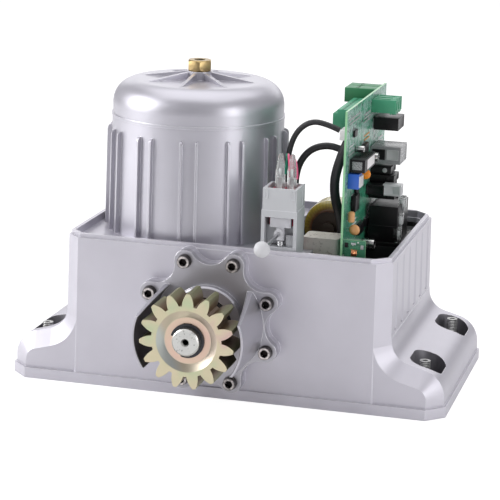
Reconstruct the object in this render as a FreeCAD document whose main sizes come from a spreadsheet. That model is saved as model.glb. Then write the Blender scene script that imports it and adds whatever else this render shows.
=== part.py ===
import FreeCAD, Part
import math
import os
import re
import Sketcher

# Sliding gate motor: a cast housing with two mounting feet, a vertical motor on its deck, a worm
# drive to a rack pinion at the front, and a control unit in the open tub beside the motor.
# Frame: +Z up, -Y is the front (the pinion side), +X is the control side. The origin is the centre
# of the base's underside.

Vector = FreeCAD.Vector
DOC = FreeCAD.newDocument("sliding_gate_motor")

# ----------------------------------------------------------------- driving dimensions (mm, degrees)
SIZES = [
    # housing
    ("base_length", 334, "base plate along X"),
    ("base_depth", 184, "base plate along Y"),
    ("base_thick", 8, "base plate height"),
    ("base_corner", 13, "chamfer of the base plate's corners"),
    ("body_width", 250.6, "housing at the base plate, along X"),
    ("body_depth", 180.6, "housing at the base plate, along Y"),
    ("body_corner", 11.5, "chamfer of the housing's upright corners"),
    ("draft_inset", 1.8, "how far the walls lean in over their height"),
    ("rim_height", 115, "top of the rim"),
    ("lip_height", 3, "height of the thin lip on the rim"),
    ("lip_ledge", 1.6, "step outside the lip"),
    ("lip_wall", 2.8, "thickness of the lip"),
    ("inner_corner", 8, "chamfer inside the rim's corners"),
    ("deck_drop", 5.7, "deck below the rim"),
    ("tub_left", 26, "left wall of the tub"),
    ("tub_floor", 54, "floor of the tub"),
    ("shelf_right", 58, "right end of the switch's shelf"),
    ("shelf_deep", 32, "depth of the switch's shelf"),
    ("foot_reach", 165.3, "end of a foot from the middle"),
    ("foot_rise", 40.5, "height where a foot's slope meets the wall"),
    ("foot_slope", 15, "slope of a foot's top"),
    ("cove_radius", 17, "hollow between foot and wall"),
    ("toe_radius", 20.5, "round at a foot's end"),
    ("cheek_step", 0.9, "foot's cheek behind the front panel"),
    ("cove_sink", 0.4, "cove let into the wall"),
    ("pocket_across", 148, "foot pockets from the middle, along X"),
    ("pocket_along", 52.5, "foot pockets from the middle, along Y"),
    ("pocket_wide", 24, "foot pocket along X"),
    ("pocket_long", 38, "foot pocket along Y"),
    ("pocket_floor", 9, "floor of a foot pocket"),
    ("pocket_round", 11, "corner radius of a foot pocket"),
    ("anchor_across", 148, "anchor holes from the middle, along X"),
    ("anchor_along", 42.5, "anchor holes from the middle, along Y"),
    ("anchor_radius", 4.5, "anchor hole for an M8 stud"),
    ("grub_across", 147, "levelling screws from the middle, along X"),
    ("grub_along", 60, "levelling screws from the middle, along Y"),
    ("grub_radius", 4, "M8 levelling screw"),
    ("grub_top", 36, "top of a levelling screw"),
    ("grub_socket", 2, "half of a levelling screw's socket across flats"),
    ("grub_socket_deep", 5, "depth of a levelling screw's socket"),
    ("thread_gap", 0.1, "radial gap at a screw thread"),
    ("flute_pitch", 25, "flutes of the right wall"),
    ("flute_radius", 9, "radius of a flute"),
    ("flute_sink", 2.3, "depth of a flute at its foot"),
    ("core_long", 50.6, "cored pocket along Y"),
    ("rear_core_long", 58, "cored pockets behind the gear chamber, along Y"),
    ("core_rib", 6, "rib between cored pockets"),
    ("core_roof", 7, "metal left over a cored pocket"),
    ("core_side", 7, "metal left beside the cored pockets"),
    # gear train
    ("gear_across", -7.5, "output shaft along X"),
    ("gear_height", 60.9, "output shaft's height"),
    ("centre_distance", 37, "worm to wheel"),
    ("motor_along", -10.3, "motor axis along Y"),
    ("worm_module", 2, "module of worm and wheel"),
    ("worm_radius", 8, "worm's pitch radius"),
    ("wheel_teeth", 29, "teeth of the worm wheel"),
    ("wheel_face", 12, "width of the wheel's rim"),
    ("hub_face", 24, "width of the wheel's hub"),
    ("hub_radius", 19, "wheel's hub"),
    ("wheel_seat", 14, "shaft under the wheel"),
    ("web_deep", 3.5, "recess beside the wheel's web"),
    ("worm_turns", 5, "turns of the worm's thread"),
    ("flank_gap", 0.34, "gap on each flank of the worm mesh"),
    ("chamber_radius", 37, "bore of the gear chamber"),
    ("worm_bore", 17.5, "bore of the worm chamber and its upper bearing's seat"),
    ("seat_gap", 0.03, "radial gap of a seated bearing"),
    ("pinion_module", 4, "module of the rack pinion"),
    ("pinion_teeth", 15, "teeth of the rack pinion"),
    ("pinion_shift", 0.22, "profile shift of the pinion, in modules"),
    ("pinion_face", 25, "width of the pinion"),
    ("pinion_back", 131.4, "pinion's back in front of the middle"),
    ("pinion_turn", -1.3, "turn of the pinion's first tooth"),
    ("pinion_dish", 22.5, "rim of the pinion's front recess"),
    ("pinion_floor", 17.2, "flat floor of the pinion's recess"),
    ("pinion_dish_deep", 3.3, "depth of the pinion's front recess"),
    ("pinion_seat", 10, "shaft radius in the pinion"),
    ("shaft_radius", 12.5, "shaft radius in its bearings"),
    ("shaft_shoulder", 15, "shaft radius between front bearing and wheel"),
    ("shaft_proud", 3.2, "shaft end in front of the pinion"),
    ("shaft_chamfer", 1, "chamfer of the shaft's end"),
    ("centre_hole", 3, "centre hole in the shaft's end"),
    ("clip_thick", 1.2, "circlip thickness"),
    ("clip_wide", 3.2, "circlip's radial width"),
    ("clip_groove", 0.75, "depth of the circlip's groove"),
    ("clip_gap_middle", 207, "middle of the circlip's opening, from +X"),
    ("clip_gap_turn", 41, "half opening of the circlip"),
    ("clip_slack", 0.05, "play of the circlip"),
    ("key_wide", 6, "keys"),
    ("key_sink", 3.5, "key in the shaft"),
    ("key_proud", 2.5, "key above the shaft"),
    ("key_gap", 0.05, "play round a key"),
    ("pinion_key_long", 18, "key under the pinion"),
    ("wheel_key_long", 18, "key under the wheel"),
    ("collar_radius", 15.5, "distance collar behind the pinion"),
    ("collar_gap", 1, "distance collar to the seal"),
    # gear cover
    ("cover_pad", 5.5, "raised seat on the housing"),
    ("cover_thick", 6.5, "cover's flange"),
    ("screw_circle", 48, "radius of the cover screws' circle"),
    ("screw_count", 8, "cover screws"),
    ("lobe_radius", 8, "lobes of the cover"),
    ("waist_radius", 43, "cover between its lobes"),
    ("spigot_long", 11.5, "cover's spigot in the chamber bore"),
    ("spigot_gap", 0.05, "radial gap round the spigot"),
    ("boss_radius", 28, "ring round the seal"),
    ("boss_proud", 6, "ring in front of the flange"),
    ("boss_chamfer", 1.2, "chamfer of the ring"),
    ("seal_radius", 20, "seal's seat"),
    ("seal_wide", 7, "seal"),
    ("seal_land", 1.5, "metal between seal and bearing"),
    ("guard_radius", 39, "inside of the pinion guard"),
    ("guard_front_wall", 2, "guard's thickness in front"),
    ("guard_root_wall", 3, "guard's thickness at the flange"),
    ("guard_long", 52.7, "guard in front of the flange"),
    ("guard_foot", 23, "guard's lower end, below the axis"),
    ("guard_front_turn", 22, "guard's end above the axis, in front"),
    ("guard_root_turn", 42, "guard's end above the axis, at the flange"),
    ("screw_radius", 2.5, "cover screw, M5"),
    ("screw_head_radius", 4.6, "cover screw's head"),
    ("screw_head", 5, "height of the head"),
    ("screw_long", 16, "length under the head"),
    ("screw_socket", 2.6, "half of the socket across flats"),
    ("screw_socket_deep", 3.2, "depth of the socket"),
    ("screw_clear", 0.25, "radial clearance in the flange"),
    # bearings: bore and outside radius, width
    ("big_bore", 12.5, "output bearings, bore"),
    ("big_outer", 26, "output bearings, outside"),
    ("big_wide", 15, "output bearings, width"),
    ("worm_journal", 7.5, "upper worm bearing's bore"),
    ("worm_bearing_wide", 11, "upper worm bearing's width"),
    ("foot_journal", 6, "lower worm bearing's bore"),
    ("foot_outer", 16, "lower worm bearing's outside"),
    ("foot_wide", 10, "lower worm bearing's width"),
    ("foot_seat", 26, "height of the lower worm bearing"),
    ("ring_wall", 3, "thickness of a bearing's rings"),
    ("shield_sink", 0.6, "bearing's shields below its faces"),
    ("journal_gap", 0.02, "radial gap at a journal"),
    ("rear_seat", 3, "rear output bearing's front face, along Y"),
    # motor
    ("can_foot_radius", 66.8, "motor can at the deck"),
    ("can_top_radius", 65.4, "motor can at the seam"),
    ("seam_height", 81.8, "seam between can and end cap, above the rim"),
    ("rib_count", 12, "pairs of ribs on the can"),
    ("rib_turn", 10.5, "turn of the first pair from the front"),
    ("rib_spread", 4.8, "half the angle within a pair"),
    ("rib_thick", 1.7, "rib thickness"),
    ("rib_proud", 3.5, "rib in front of the can"),
    ("rib_foot", -4, "rib's lower end, above the rim"),
    ("rib_top", 73, "rib's upper end, above the rim"),
    ("bead_proud", 0.9, "bead at the seam"),
    ("bead_height", 1.8, "height of the bead"),
    ("cap_radius", 65, "end cap at the seam"),
    ("cap_height", 109.3, "end cap's flat top, above the rim"),
    ("cap_round", 18, "shoulder of the end cap"),
    ("cap_wall", 4, "end cap's wall"),
    ("spoke_count", 8, "ribs on the end cap"),
    ("spoke_thick", 2.6, "thickness of a rib on the end cap"),
    ("spoke_reach", 52, "outer end of a rib on the end cap"),
    ("spoke_rise", 5.6, "height of a rib at the boss"),
    ("spoke_turn", -2, "turn of the end cap's first rib"),
    ("boss_top", 9.8, "radius of the end cap's boss"),
    ("boss_height", 6.2, "height of the end cap's boss"),
    ("nut_flats", 17, "cap nut across flats"),
    ("nut_height", 8.5, "cap nut"),
    ("nut_bore", 4.25, "cap nut's bore, M10"),
    ("bore_deep", 7, "bore under the nut"),
    ("bore_step", 0.3, "how much wider the bore under the nut is"),
    ("stator_radius", 61.8, "stator's outside"),
    ("stator_bore", 36.3, "stator's bore"),
    ("stator_foot", 13, "stator's lower face, above the rim"),
    ("stator_top", 63, "stator's upper face, above the rim"),
    ("winding_inner", 40, "windings, inside"),
    ("winding_outer", 58, "windings, outside"),
    ("winding_high", 12, "windings, height"),
    ("stator_gap", 0.1, "radial gap in the can"),
    ("air_gap", 0.4, "rotor to stator"),
    ("rotor_shaft", 9, "motor shaft in the rotor"),
    ("end_journal_foot", 88, "top bearing's lower face, above the rim"),
    # limit switch
    ("switch_left", 25.5, "limit switch frame, left"),
    ("switch_right", 52, "limit switch frame, right"),
    ("switch_front", 82.3, "limit switch frame's front, before the middle"),
    ("switch_deep", 24, "limit switch frame, depth"),
    ("window_side", 2.4, "frame's uprights"),
    ("window_foot", 1.7, "window's lower edge, above the rim"),
    ("window_top", 23.6, "window's upper edge, above the rim"),
    ("frame_top", 28.7, "frame's top, above the rim"),
    ("box_side", 0.6, "switch box narrower than the frame, each side"),
    ("box_top", 45, "switch box's top, above the rim"),
    ("box_wall", 2, "switch box's wall"),
    ("micro_wide", 9.3, "microswitch along X"),
    ("micro_gap", 1.2, "between the microswitches"),
    ("micro_front", 73.4, "microswitches' front, before the middle"),
    ("micro_deep", 13, "microswitch, depth"),
    ("micro_foot", 4, "microswitches' lower end, above the rim"),
    ("micro_top", 42, "microswitches' upper end, above the rim"),
    ("pivot_across", 39.4, "lever's pivot along X"),
    ("pivot_front", 78.3, "lever's pivot, before the middle"),
    ("pivot_radius", 1.5, "pivot pin"),
    ("pivot_gap", 0.05, "lever on its pin"),
    ("stem_wide", 5.4, "lever's stem"),
    ("bar_wide", 15.4, "lever's bar"),
    ("bar_foot", 16, "bar's lower edge, above the rim"),
    ("bar_top", 23, "bar's upper edge, above the rim"),
    ("bar_thick", 4, "bar's thickness"),
    ("lever_gap", 0.3, "lever above its spring"),
    ("lever_socket", 3.4, "lever's socket for the rod"),
    ("socket_long", 5, "length of the socket in front of the stem"),
    ("rod_radius", 1.5, "lever's rod"),
    ("rod_drop", 3.8, "rod below the lever's bar"),
    ("rod_lean", 1.4, "rod's lean to the left"),
    ("rod_fall", 2, "rod's fall to the front"),
    ("rod_tip", 122.8, "rod's front end, before the middle"),
    ("knob_radius", 6, "knob"),
    ("knob_long", 13, "knob's length"),
    ("knob_neck", 2.6, "knob's narrow end"),
    ("knob_socket", 4, "rod in the knob"),
    ("spring_outer", 2.6, "lever spring's radius"),
    ("spring_high", 4.5, "lever spring's height"),
    ("plunger_wide", 3, "plunger along X"),
    ("plunger_high", 5, "plunger's height"),
    ("plunger_proud", 0.9, "plunger in front of its switch"),
    ("plunger_long", 5, "plunger's length"),
    ("plunger_gap", 0.1, "play round a plunger"),
    ("plunger_travel", 0.7, "plunger's stroke"),
    ("sleeve_wide", 7, "terminal sleeve along X"),
    ("sleeve_deep", 5, "terminal sleeve along Y"),
    ("sleeve_top", 68, "terminal sleeves' upper end, above the rim"),
    ("frame_screw", 1.5, "limit switch frame's screws"),
    ("frame_screw_head", 2.8, "head of a frame screw"),
    ("screw_spread", 6.5, "frame screws from the pivot"),
    ("screw_inset", 5, "frame screws from the frame's back"),
    # control unit
    ("liner_gap", 0.3, "liner to the tub"),
    ("liner_wall", 2, "liner's wall"),
    ("liner_top", -9, "liner's upper edge, above the rim"),
    ("liner_shelf", -11, "top of the liner's shelf, above the rim"),
    ("shelf_from", 86, "left end of the liner's shelf"),
    ("shelf_front", 0, "front end of the liner's shelf, along Y"),
    ("board_across", 82.7, "control board's left face"),
    ("board_thick", 1.6, "control board"),
    ("board_near", -72.3, "control board's front edge"),
    ("board_far", 69.7, "control board's rear edge"),
    ("board_foot", -20, "control board's lower edge, above the rim"),
    ("board_top", 103, "control board's upper edge, above the rim"),
    ("rail_wall", 2.2, "wall of the board's rail"),
    ("rail_hold", 4, "board in its rail"),
    ("rail_gap", 0.15, "board's play in its rail"),
    ("rail_long", 24, "length of a rail post"),
]

# Parts soldered to the control board: side (+1 right, -1 left), front edge along Y, lower edge
# above the rim, length along Y, height, and how far each stands off the board.
COMPONENTS = [
    ("output_terminal", 1, 12.7, 89, 24, 10, 18.7),
    ("motor_terminal", 1, 20.7, 74.5, 24, 9.5, 19.7),
    ("motor_relay", 1, 13.7, 50, 26, 13, 23.7),
    ("signal_relay", 1, -61.3, 57, 36, 9.5, 12),
    ("film_capacitor", 1, -63.3, 45, 11, 11, 9.5),
    ("board_resistor", 1, -64, 20, 5, 8, 6),
    ("driver_chips", 1, 16, 22, 24, 25, 20),
    ("side_connector", 1, 4, 27, 10, 9, 27),
    ("near_chips", 1, -50, 25, 14, 12, 4),
    ("pluggable_strip", -1, -26, 81, 59, 15, 19.5),
    ("white_connector", -1, -41, 76, 10, 9, 10.5),
    ("rear_terminal", -1, 34, 92, 13, 11, 24),
    ("last_terminal", -1, 47.5, 92, 13, 11, 24),
]
for name, side, near, low, long_, tall, deep in COMPONENTS:
    SIZES += [
        (name + "_y", near, name + ", front edge along Y"),
        (name + "_z", low, name + ", lower edge above the rim"),
        (name + "_long", long_, name + ", length along Y"),
        (name + "_tall", tall, name + ", height"),
        (name + "_deep", deep, name + ", off the board"),
    ]
SIZES += [
    ("disc_radius", 4, "disc capacitor"),
    ("disc_thick", 3.5, "disc capacitor, thickness"),
    ("disc_y", -29, "disc capacitor along Y"),
    ("disc_z", 50, "disc capacitor's height, above the rim"),
    ("disc_deep", 6, "disc capacitor off the board"),
    ("small_disc_y", -61, "small disc capacitor along Y"),
    ("small_disc_z", 14.5, "small disc capacitor's height, above the rim"),
    ("daughter_wide", 16.7, "daughter board along X"),
    ("daughter_front", 71, "daughter board before the middle"),
    ("daughter_foot", -15, "daughter board, lower edge, above the rim"),
    ("daughter_top", 9, "daughter board, upper edge, above the rim"),
    ("module_clear", 9.1, "power module to the lip, right side"),
    ("module_back", 46, "power module, rear, along Y"),
    ("module_top", 19, "power module, top, above the rim"),
    ("module_flange", 3, "power module's flange, height"),
    ("module_margin", 3, "power module's flange round its body"),
    ("toroid_across", 61, "toroid's axis along X"),
    ("toroid_height", 2.5, "toroid's axis, height, above the rim"),
    ("toroid_radius", 20.5, "toroid, outside"),
    ("toroid_bore", 7.5, "toroid, bore"),
    ("toroid_front", -14, "toroid's front face along Y"),
    ("toroid_thick", 28, "toroid, thickness"),
    ("toroid_round", 6, "toroid's rounded edges"),
    ("bolt_radius", 3, "toroid's bolt"),
    ("bracket_thick", 3, "toroid's bracket"),
    ("bracket_wide", 24, "toroid's bracket along X"),
    ("washer_radius", 13, "toroid's washer"),
    ("washer_thick", 1.6, "toroid's washer, thickness"),
    ("capacitor_left", 49, "run capacitor, left side"),
    ("capacitor_right", 76, "run capacitor, right side"),
    ("capacitor_front", -48.8, "run capacitor, front, along Y"),
    ("capacitor_deep", 21, "run capacitor along Y"),
    ("capacitor_top", 3, "run capacitor, top, above the rim"),
    ("capacitor_round", 3, "run capacitor's edges"),
    ("post_across", -116.2, "cover post along X"),
    ("post_along", -9, "cover post along Y"),
    ("post_radius", 2.6, "cover post"),
    ("post_top", 9, "cover post's top, above the rim"),
    ("thin_lead", 2.1, "motor lead's radius"),
    ("plug_lead", 2.6, "capacitor lead's radius"),
    ("thick_lead", 3.6, "supply lead's radius"),
]

SHEET = DOC.addObject("Spreadsheet::Sheet", "sizes")
for line, (alias, number, meaning) in enumerate(SIZES, start=1):
    SHEET.set("A%d" % line, meaning)
    SHEET.set("B%d" % line, str(number))
    SHEET.setAlias("B%d" % line, alias)
DOC.recompute()
ALIAS = re.compile(r"\b(" + "|".join(sorted((s[0] for s in SIZES), key=len, reverse=True)) + r")\b")

# ----------------------------------------------------------------------------- derived places
PANEL = "(body_depth/2)"
PAD_FACE = "(body_depth/2 + cover_pad)"
FLANGE = "(body_depth/2 + cover_pad + cover_thick)"
BOSS_FACE = "(body_depth/2 + cover_pad + cover_thick + boss_proud)"
SEAL_BACK = "(body_depth/2 + cover_pad + cover_thick + boss_proud - seal_wide)"
FRONT_SEAT = "(body_depth/2 + cover_pad + cover_thick + boss_proud - seal_wide - seal_land)"
FRONT_SEAT_BACK = "(body_depth/2 + cover_pad + cover_thick + boss_proud - seal_wide - seal_land - big_wide)"
PINION_FRONT = "(pinion_back + pinion_face)"
PINION_FLOOR = "(pinion_back + pinion_face - pinion_dish_deep)"
SHAFT_END = "(pinion_back + pinion_face + shaft_proud)"
DECK = "(rim_height - deck_drop)"
LIP_X = "(body_width/2 - draft_inset - lip_ledge)"
LIP_Y = "(body_depth/2 - draft_inset - lip_ledge)"
INNER_X = "(body_width/2 - draft_inset - lip_ledge - lip_wall)"
INNER_Y = "(body_depth/2 - draft_inset - lip_ledge - lip_wall)"
MOTOR_X = "(gear_across - centre_distance)"
UPPER_SEAT = "(rim_height - deck_drop - worm_bearing_wide - 6)"
REAR_SEAT_END = "(rear_seat + big_wide)"
LINER_FLOOR = "(tub_floor + liner_wall)"
MODULE_RIGHT = "(body_width/2 - draft_inset - lip_ledge - lip_wall - module_clear)"


def term(text):
    """The text with each size named as the sheet's cell."""
    return ALIAS.sub(r"sizes.\1", str(text))


def value(text):
    """The text's number."""
    return float(SHEET.evalExpression(term(text)))


# ----------------------------------------------------------------------------- drawing and features
def new_body(label, x="0", y="0", z="0"):
    body = DOC.addObject("PartDesign::Body", label)
    body.AllowCompound = True
    body.setExpression("Placement.Base.x", term(x))
    body.setExpression("Placement.Base.y", term(y))
    body.setExpression("Placement.Base.z", term(z))
    return body


def origin_part(body, role):
    return next(item for item in body.Origin.OriginFeatures if item.Role == role)


def new_sketch(body, name, role, lift="0", turn=None, swing=None):
    """A sketch on an origin plane, lifted along the plane's normal.

    turn rotates it in its plane, swing about its own upright axis.
    """
    sketch = body.newObject("Sketcher::SketchObject", name)
    sketch.AttachmentSupport = (origin_part(body, role), [""])
    sketch.MapMode = "FlatFace"
    if turn is not None:
        sketch.AttachmentOffset = FreeCAD.Placement(Vector(), FreeCAD.Rotation(Vector(0, 0, 1), 10))
        sketch.setExpression("AttachmentOffset.Rotation.Angle", term(turn))
    if swing is not None:
        sketch.AttachmentOffset = FreeCAD.Placement(Vector(), FreeCAD.Rotation(Vector(0, 1, 0), 10))
        sketch.setExpression("AttachmentOffset.Rotation.Angle", term(swing))
    sketch.setExpression("AttachmentOffset.Base.z", term(lift))
    return sketch


def pin_point(sketch, geometry, end, across, up):
    """Hold a point at its place from the sketch's origin."""
    for kind, axis, text in (("DistanceX", -2, across), ("DistanceY", -1, up)):
        if str(text) == "0":
            sketch.addConstraint(Sketcher.Constraint("PointOnObject", geometry, end, axis))
            continue
        number = value(text)
        index = sketch.addConstraint(Sketcher.Constraint(kind, -1, 1, geometry, end, number))
        sketch.setExpression("Constraints[%d]" % index, term(text))


def hold_radius(sketch, geometry, text):
    index = sketch.addConstraint(Sketcher.Constraint("Radius", geometry, value(text)))
    sketch.setExpression("Constraints[%d]" % index, term(text))


def add_circle(sketch, across, up, radius):
    circle = Part.Circle(Vector(value(across), value(up), 0), Vector(0, 0, 1), value(radius))
    index = sketch.addGeometry(circle, False)
    pin_point(sketch, index, 3, across, up)
    hold_radius(sketch, index, radius)


def arc_between(start, end, radius, left):
    """The arc from start to end; left is True where its centre lies left of the way."""
    middle = (start + end) * 0.5
    way = end - start
    side = Vector(-way.y, way.x, 0).normalize() * (1 if left else -1)
    centre = middle + side * math.sqrt(max(radius**2 - (way.Length / 2) ** 2, 0))
    first = math.atan2(start.y - centre.y, start.x - centre.x)
    last = math.atan2(end.y - centre.y, end.x - centre.x)
    if not left:
        first, last = last, first
    while last < first:
        last += 2 * math.pi
    return Part.ArcOfCircle(Part.Circle(centre, Vector(0, 0, 1), radius), first, last)


def add_outline(sketch, corners, closed=True):
    """Straight edges through the corners.

    A corner is (across, up) or (across, up, radius) for a rounded one. A corner written as
    (across, up, None, radius, left) is followed by an arc instead of a straight edge.
    """
    count = len(corners)
    points = [Vector(value(c[0]), value(c[1]), 0) for c in corners]
    arrive, leave = [], []
    for i, corner in enumerate(corners):
        if len(corner) < 3 or corner[2] is None:
            arrive.append(points[i])
            leave.append(points[i])
            continue
        back = (points[i - 1] - points[i]).normalize()
        ahead = (points[(i + 1) % count] - points[i]).normalize()
        half = back.getAngle(ahead) / 2
        reach = value(corner[2]) / math.tan(half)
        arrive.append(points[i] + back * reach)
        leave.append(points[i] + ahead * reach)
    edges = []
    for i in range(count if closed else count - 1):
        after = (i + 1) % count
        if len(corners[i]) > 3:
            arc = arc_between(leave[i], arrive[after], value(corners[i][3]), corners[i][4])
            index = sketch.addGeometry(arc, False)
            hold_radius(sketch, index, corners[i][3])
            edges.append((index, 1, 2) if corners[i][4] else (index, 2, 1))
        else:
            index = sketch.addGeometry(Part.LineSegment(leave[i], arrive[after]), False)
            edges.append((index, 1, 2))
    for i, corner in enumerate(corners):
        before = edges[i - 1] if closed or i else None
        after = edges[i] if closed or i < count - 1 else None
        if len(corner) < 3 or corner[2] is None:
            if after is None:
                pin_point(sketch, before[0], before[2], corner[0], corner[1])
                continue
            if before is not None:
                join = Sketcher.Constraint("Coincident", before[0], before[2], after[0], after[1])
                sketch.addConstraint(join)
            pin_point(sketch, after[0], after[1], corner[0], corner[1])
            continue
        turn = (points[i] - points[i - 1]).cross(points[(i + 1) % count] - points[i]).z
        left = turn > 0
        arc = sketch.addGeometry(arc_between(arrive[i], leave[i], value(corner[2]), left), False)
        start, end = (1, 2) if left else (2, 1)
        vertex = sketch.addGeometry(Part.Point(points[i]), True)
        pin_point(sketch, vertex, 1, corner[0], corner[1])
        sketch.addConstraint(Sketcher.Constraint("PointOnObject", vertex, 1, before[0]))
        sketch.addConstraint(Sketcher.Constraint("PointOnObject", vertex, 1, after[0]))
        sketch.addConstraint(Sketcher.Constraint("Tangent", before[0], before[2], arc, start))
        sketch.addConstraint(Sketcher.Constraint("Tangent", arc, end, after[0], after[1]))
        hold_radius(sketch, arc, corner[2])


def add_rectangle(sketch, left, low, right, high, radius=None):
    corners = [(left, low), (right, low), (right, high), (left, high)]
    if radius is not None:
        corners = [(a, b, radius) for a, b in corners]
    add_outline(sketch, corners)


def add_polygon(sketch, across, up, flats, sides=6):
    """A regular polygon; flats is half the width across its flats."""
    corners = []
    for i in range(sides):
        turn = (i + 0.5) * 360 / sides
        spread = "/cos(%g)" % (180 / sides)
        x = "%s + (%s)%s*cos(%g)" % (across, flats, spread, turn)
        y = "%s + (%s)%s*sin(%g)" % (up, flats, spread, turn)
        corners.append((x, y))
    add_outline(sketch, corners)


def chamfered(half_x, half_y, corner):
    """A rectangle round the origin with its corners cut off."""
    return [
        ("-(%s) + %s" % (half_x, corner), "-(%s)" % half_y),
        ("(%s) - %s" % (half_x, corner), "-(%s)" % half_y),
        (half_x, "-(%s) + %s" % (half_y, corner)),
        (half_x, "(%s) - %s" % (half_y, corner)),
        ("(%s) - %s" % (half_x, corner), half_y),
        ("-(%s) + %s" % (half_x, corner), half_y),
        ("-(%s)" % half_x, "(%s) - %s" % (half_y, corner)),
        ("-(%s)" % half_x, "-(%s) + %s" % (half_y, corner)),
    ]


VOLUMES = {}


def settle(body, feature, grows):
    """Recompute, and compare the volume with the one before the feature."""
    before = VOLUMES.get(body.Name, 0.0)
    DOC.recompute()
    after = feature.Shape.Volume
    if "Invalid" in feature.State or "Error" in feature.State:
        raise RuntimeError("%s in %s failed" % (feature.Name, body.Label))
    if (grows and after <= before + 1e-6) or (not grows and after >= before - 1e-6):
        raise RuntimeError("%s in %s changed nothing" % (feature.Name, body.Label))
    body.Tip = feature
    VOLUMES[body.Name] = after
    return feature


def pad(body, sketch, length, middle=False, back=False, taper=None):
    feature = body.newObject("PartDesign::Pad", sketch.Name + "_pad")
    feature.Profile = sketch
    feature.SideType = "Symmetric" if middle else "One side"
    feature.Reversed = back
    feature.setExpression("Length", term(length))
    if taper is not None:
        feature.setExpression("TaperAngle", term(taper))
    return settle(body, feature, True)


def pocket(body, sketch, length, middle=False, back=False):
    feature = body.newObject("PartDesign::Pocket", sketch.Name + "_pocket")
    feature.Profile = sketch
    feature.SideType = "Symmetric" if middle else "One side"
    feature.Reversed = back
    feature.setExpression("Length", term(length))
    return settle(body, feature, False)


def revolve(body, sketch, axis):
    feature = body.newObject("PartDesign::Revolution", sketch.Name + "_turned")
    feature.Profile = sketch
    feature.ReferenceAxis = (sketch, [axis])
    feature.Angle = 360
    return settle(body, feature, True)


def groove(body, sketch, axis):
    feature = body.newObject("PartDesign::Groove", sketch.Name + "_groove")
    feature.Profile = sketch
    feature.ReferenceAxis = (sketch, [axis])
    feature.Angle = 360
    return settle(body, feature, False)


def loft(body, first, second):
    feature = body.newObject("PartDesign::AdditiveLoft", first.Name + "_loft")
    feature.Profile = first
    feature.Sections = [second]
    feature.Ruled = True
    return settle(body, feature, True)


def polar(body, originals, role, count, grows=True):
    pattern = body.newObject("PartDesign::PolarPattern", originals[0].Name + "_round")
    pattern.Originals = originals
    pattern.Axis = (origin_part(body, role), [""])
    pattern.Angle = 360
    pattern.setExpression("Occurrences", term(count))
    return settle(body, pattern, grows)


def row(body, originals, role, length, count, grows, back=False):
    pattern = body.newObject("PartDesign::LinearPattern", originals[0].Name + "_row")
    pattern.Originals = originals
    pattern.Direction = (origin_part(body, role), [""])
    pattern.Reversed = back
    pattern.setExpression("Length", term(length))
    pattern.setExpression("Occurrences", term(count))
    return settle(body, pattern, grows)


def add_lobes(sketch, across="0", up="0"):
    """The cover's outline: a round lobe at each screw, joined by hollow arcs."""
    count = int(value("screw_count"))
    step = 360 / count
    hollow = (
        "((waist_radius - screw_circle*cos(%g))^2 + (screw_circle*sin(%g))^2 - lobe_radius^2)"
        "/(2*(lobe_radius - waist_radius + screw_circle*cos(%g)))" % (step / 2, step / 2, step / 2)
    )
    circle, lobe, deep = value("screw_circle"), value("lobe_radius"), value(hollow)
    reach = value("waist_radius") + deep
    centre = Vector(value(across), value(up), 0)
    lobes, waists = [], []
    for i in range(count):
        turn = (i + 0.5) * step
        middle = centre + Vector(
            circle * math.cos(math.radians(turn)), circle * math.sin(math.radians(turn)), 0,
        )
        ends = []
        for side in (-0.5, 0.5):
            other = math.radians(turn + side * step)
            far = centre + Vector(reach * math.cos(other), reach * math.sin(other), 0)
            ends.append(middle + (far - middle).normalize() * lobe)
        index = sketch.addGeometry(arc_between_round(ends[0], ends[1], middle, lobe), False)
        lobes.append(index)
        pin_point(
            sketch, index, 3, "%s + screw_circle*cos(%g)" % (across, turn),
            "%s + screw_circle*sin(%g)" % (up, turn),
        )
        hold_radius(sketch, index, "lobe_radius")
        waists.append((ends[1], math.radians(turn + step / 2)))
    arcs = []
    for i in range(count):
        start, direction = waists[i]
        far = centre + Vector(reach * math.cos(direction), reach * math.sin(direction), 0)
        end_turn = (i + 1.5) * step
        middle = centre + Vector(
            circle * math.cos(math.radians(end_turn)), circle * math.sin(math.radians(end_turn)), 0,
        )
        end = middle + (far - middle).normalize() * lobe
        arcs.append(sketch.addGeometry(arc_between_round(end, start, far, deep), False))
        hold_radius(sketch, arcs[-1], hollow)
    for i in range(count):
        sketch.addConstraint(Sketcher.Constraint("Tangent", lobes[i], 2, arcs[i], 2))
        sketch.addConstraint(Sketcher.Constraint("Tangent", arcs[i], 1, lobes[(i + 1) % count], 1))


def arc_between_round(start, end, centre, radius):
    """The anticlockwise arc about a centre."""
    first = math.atan2(start.y - centre.y, start.x - centre.x)
    last = math.atan2(end.y - centre.y, end.x - centre.x)
    while last < first:
        last += 2 * math.pi
    return Part.ArcOfCircle(Part.Circle(centre, Vector(0, 0, 1), radius), first, last)


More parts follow.
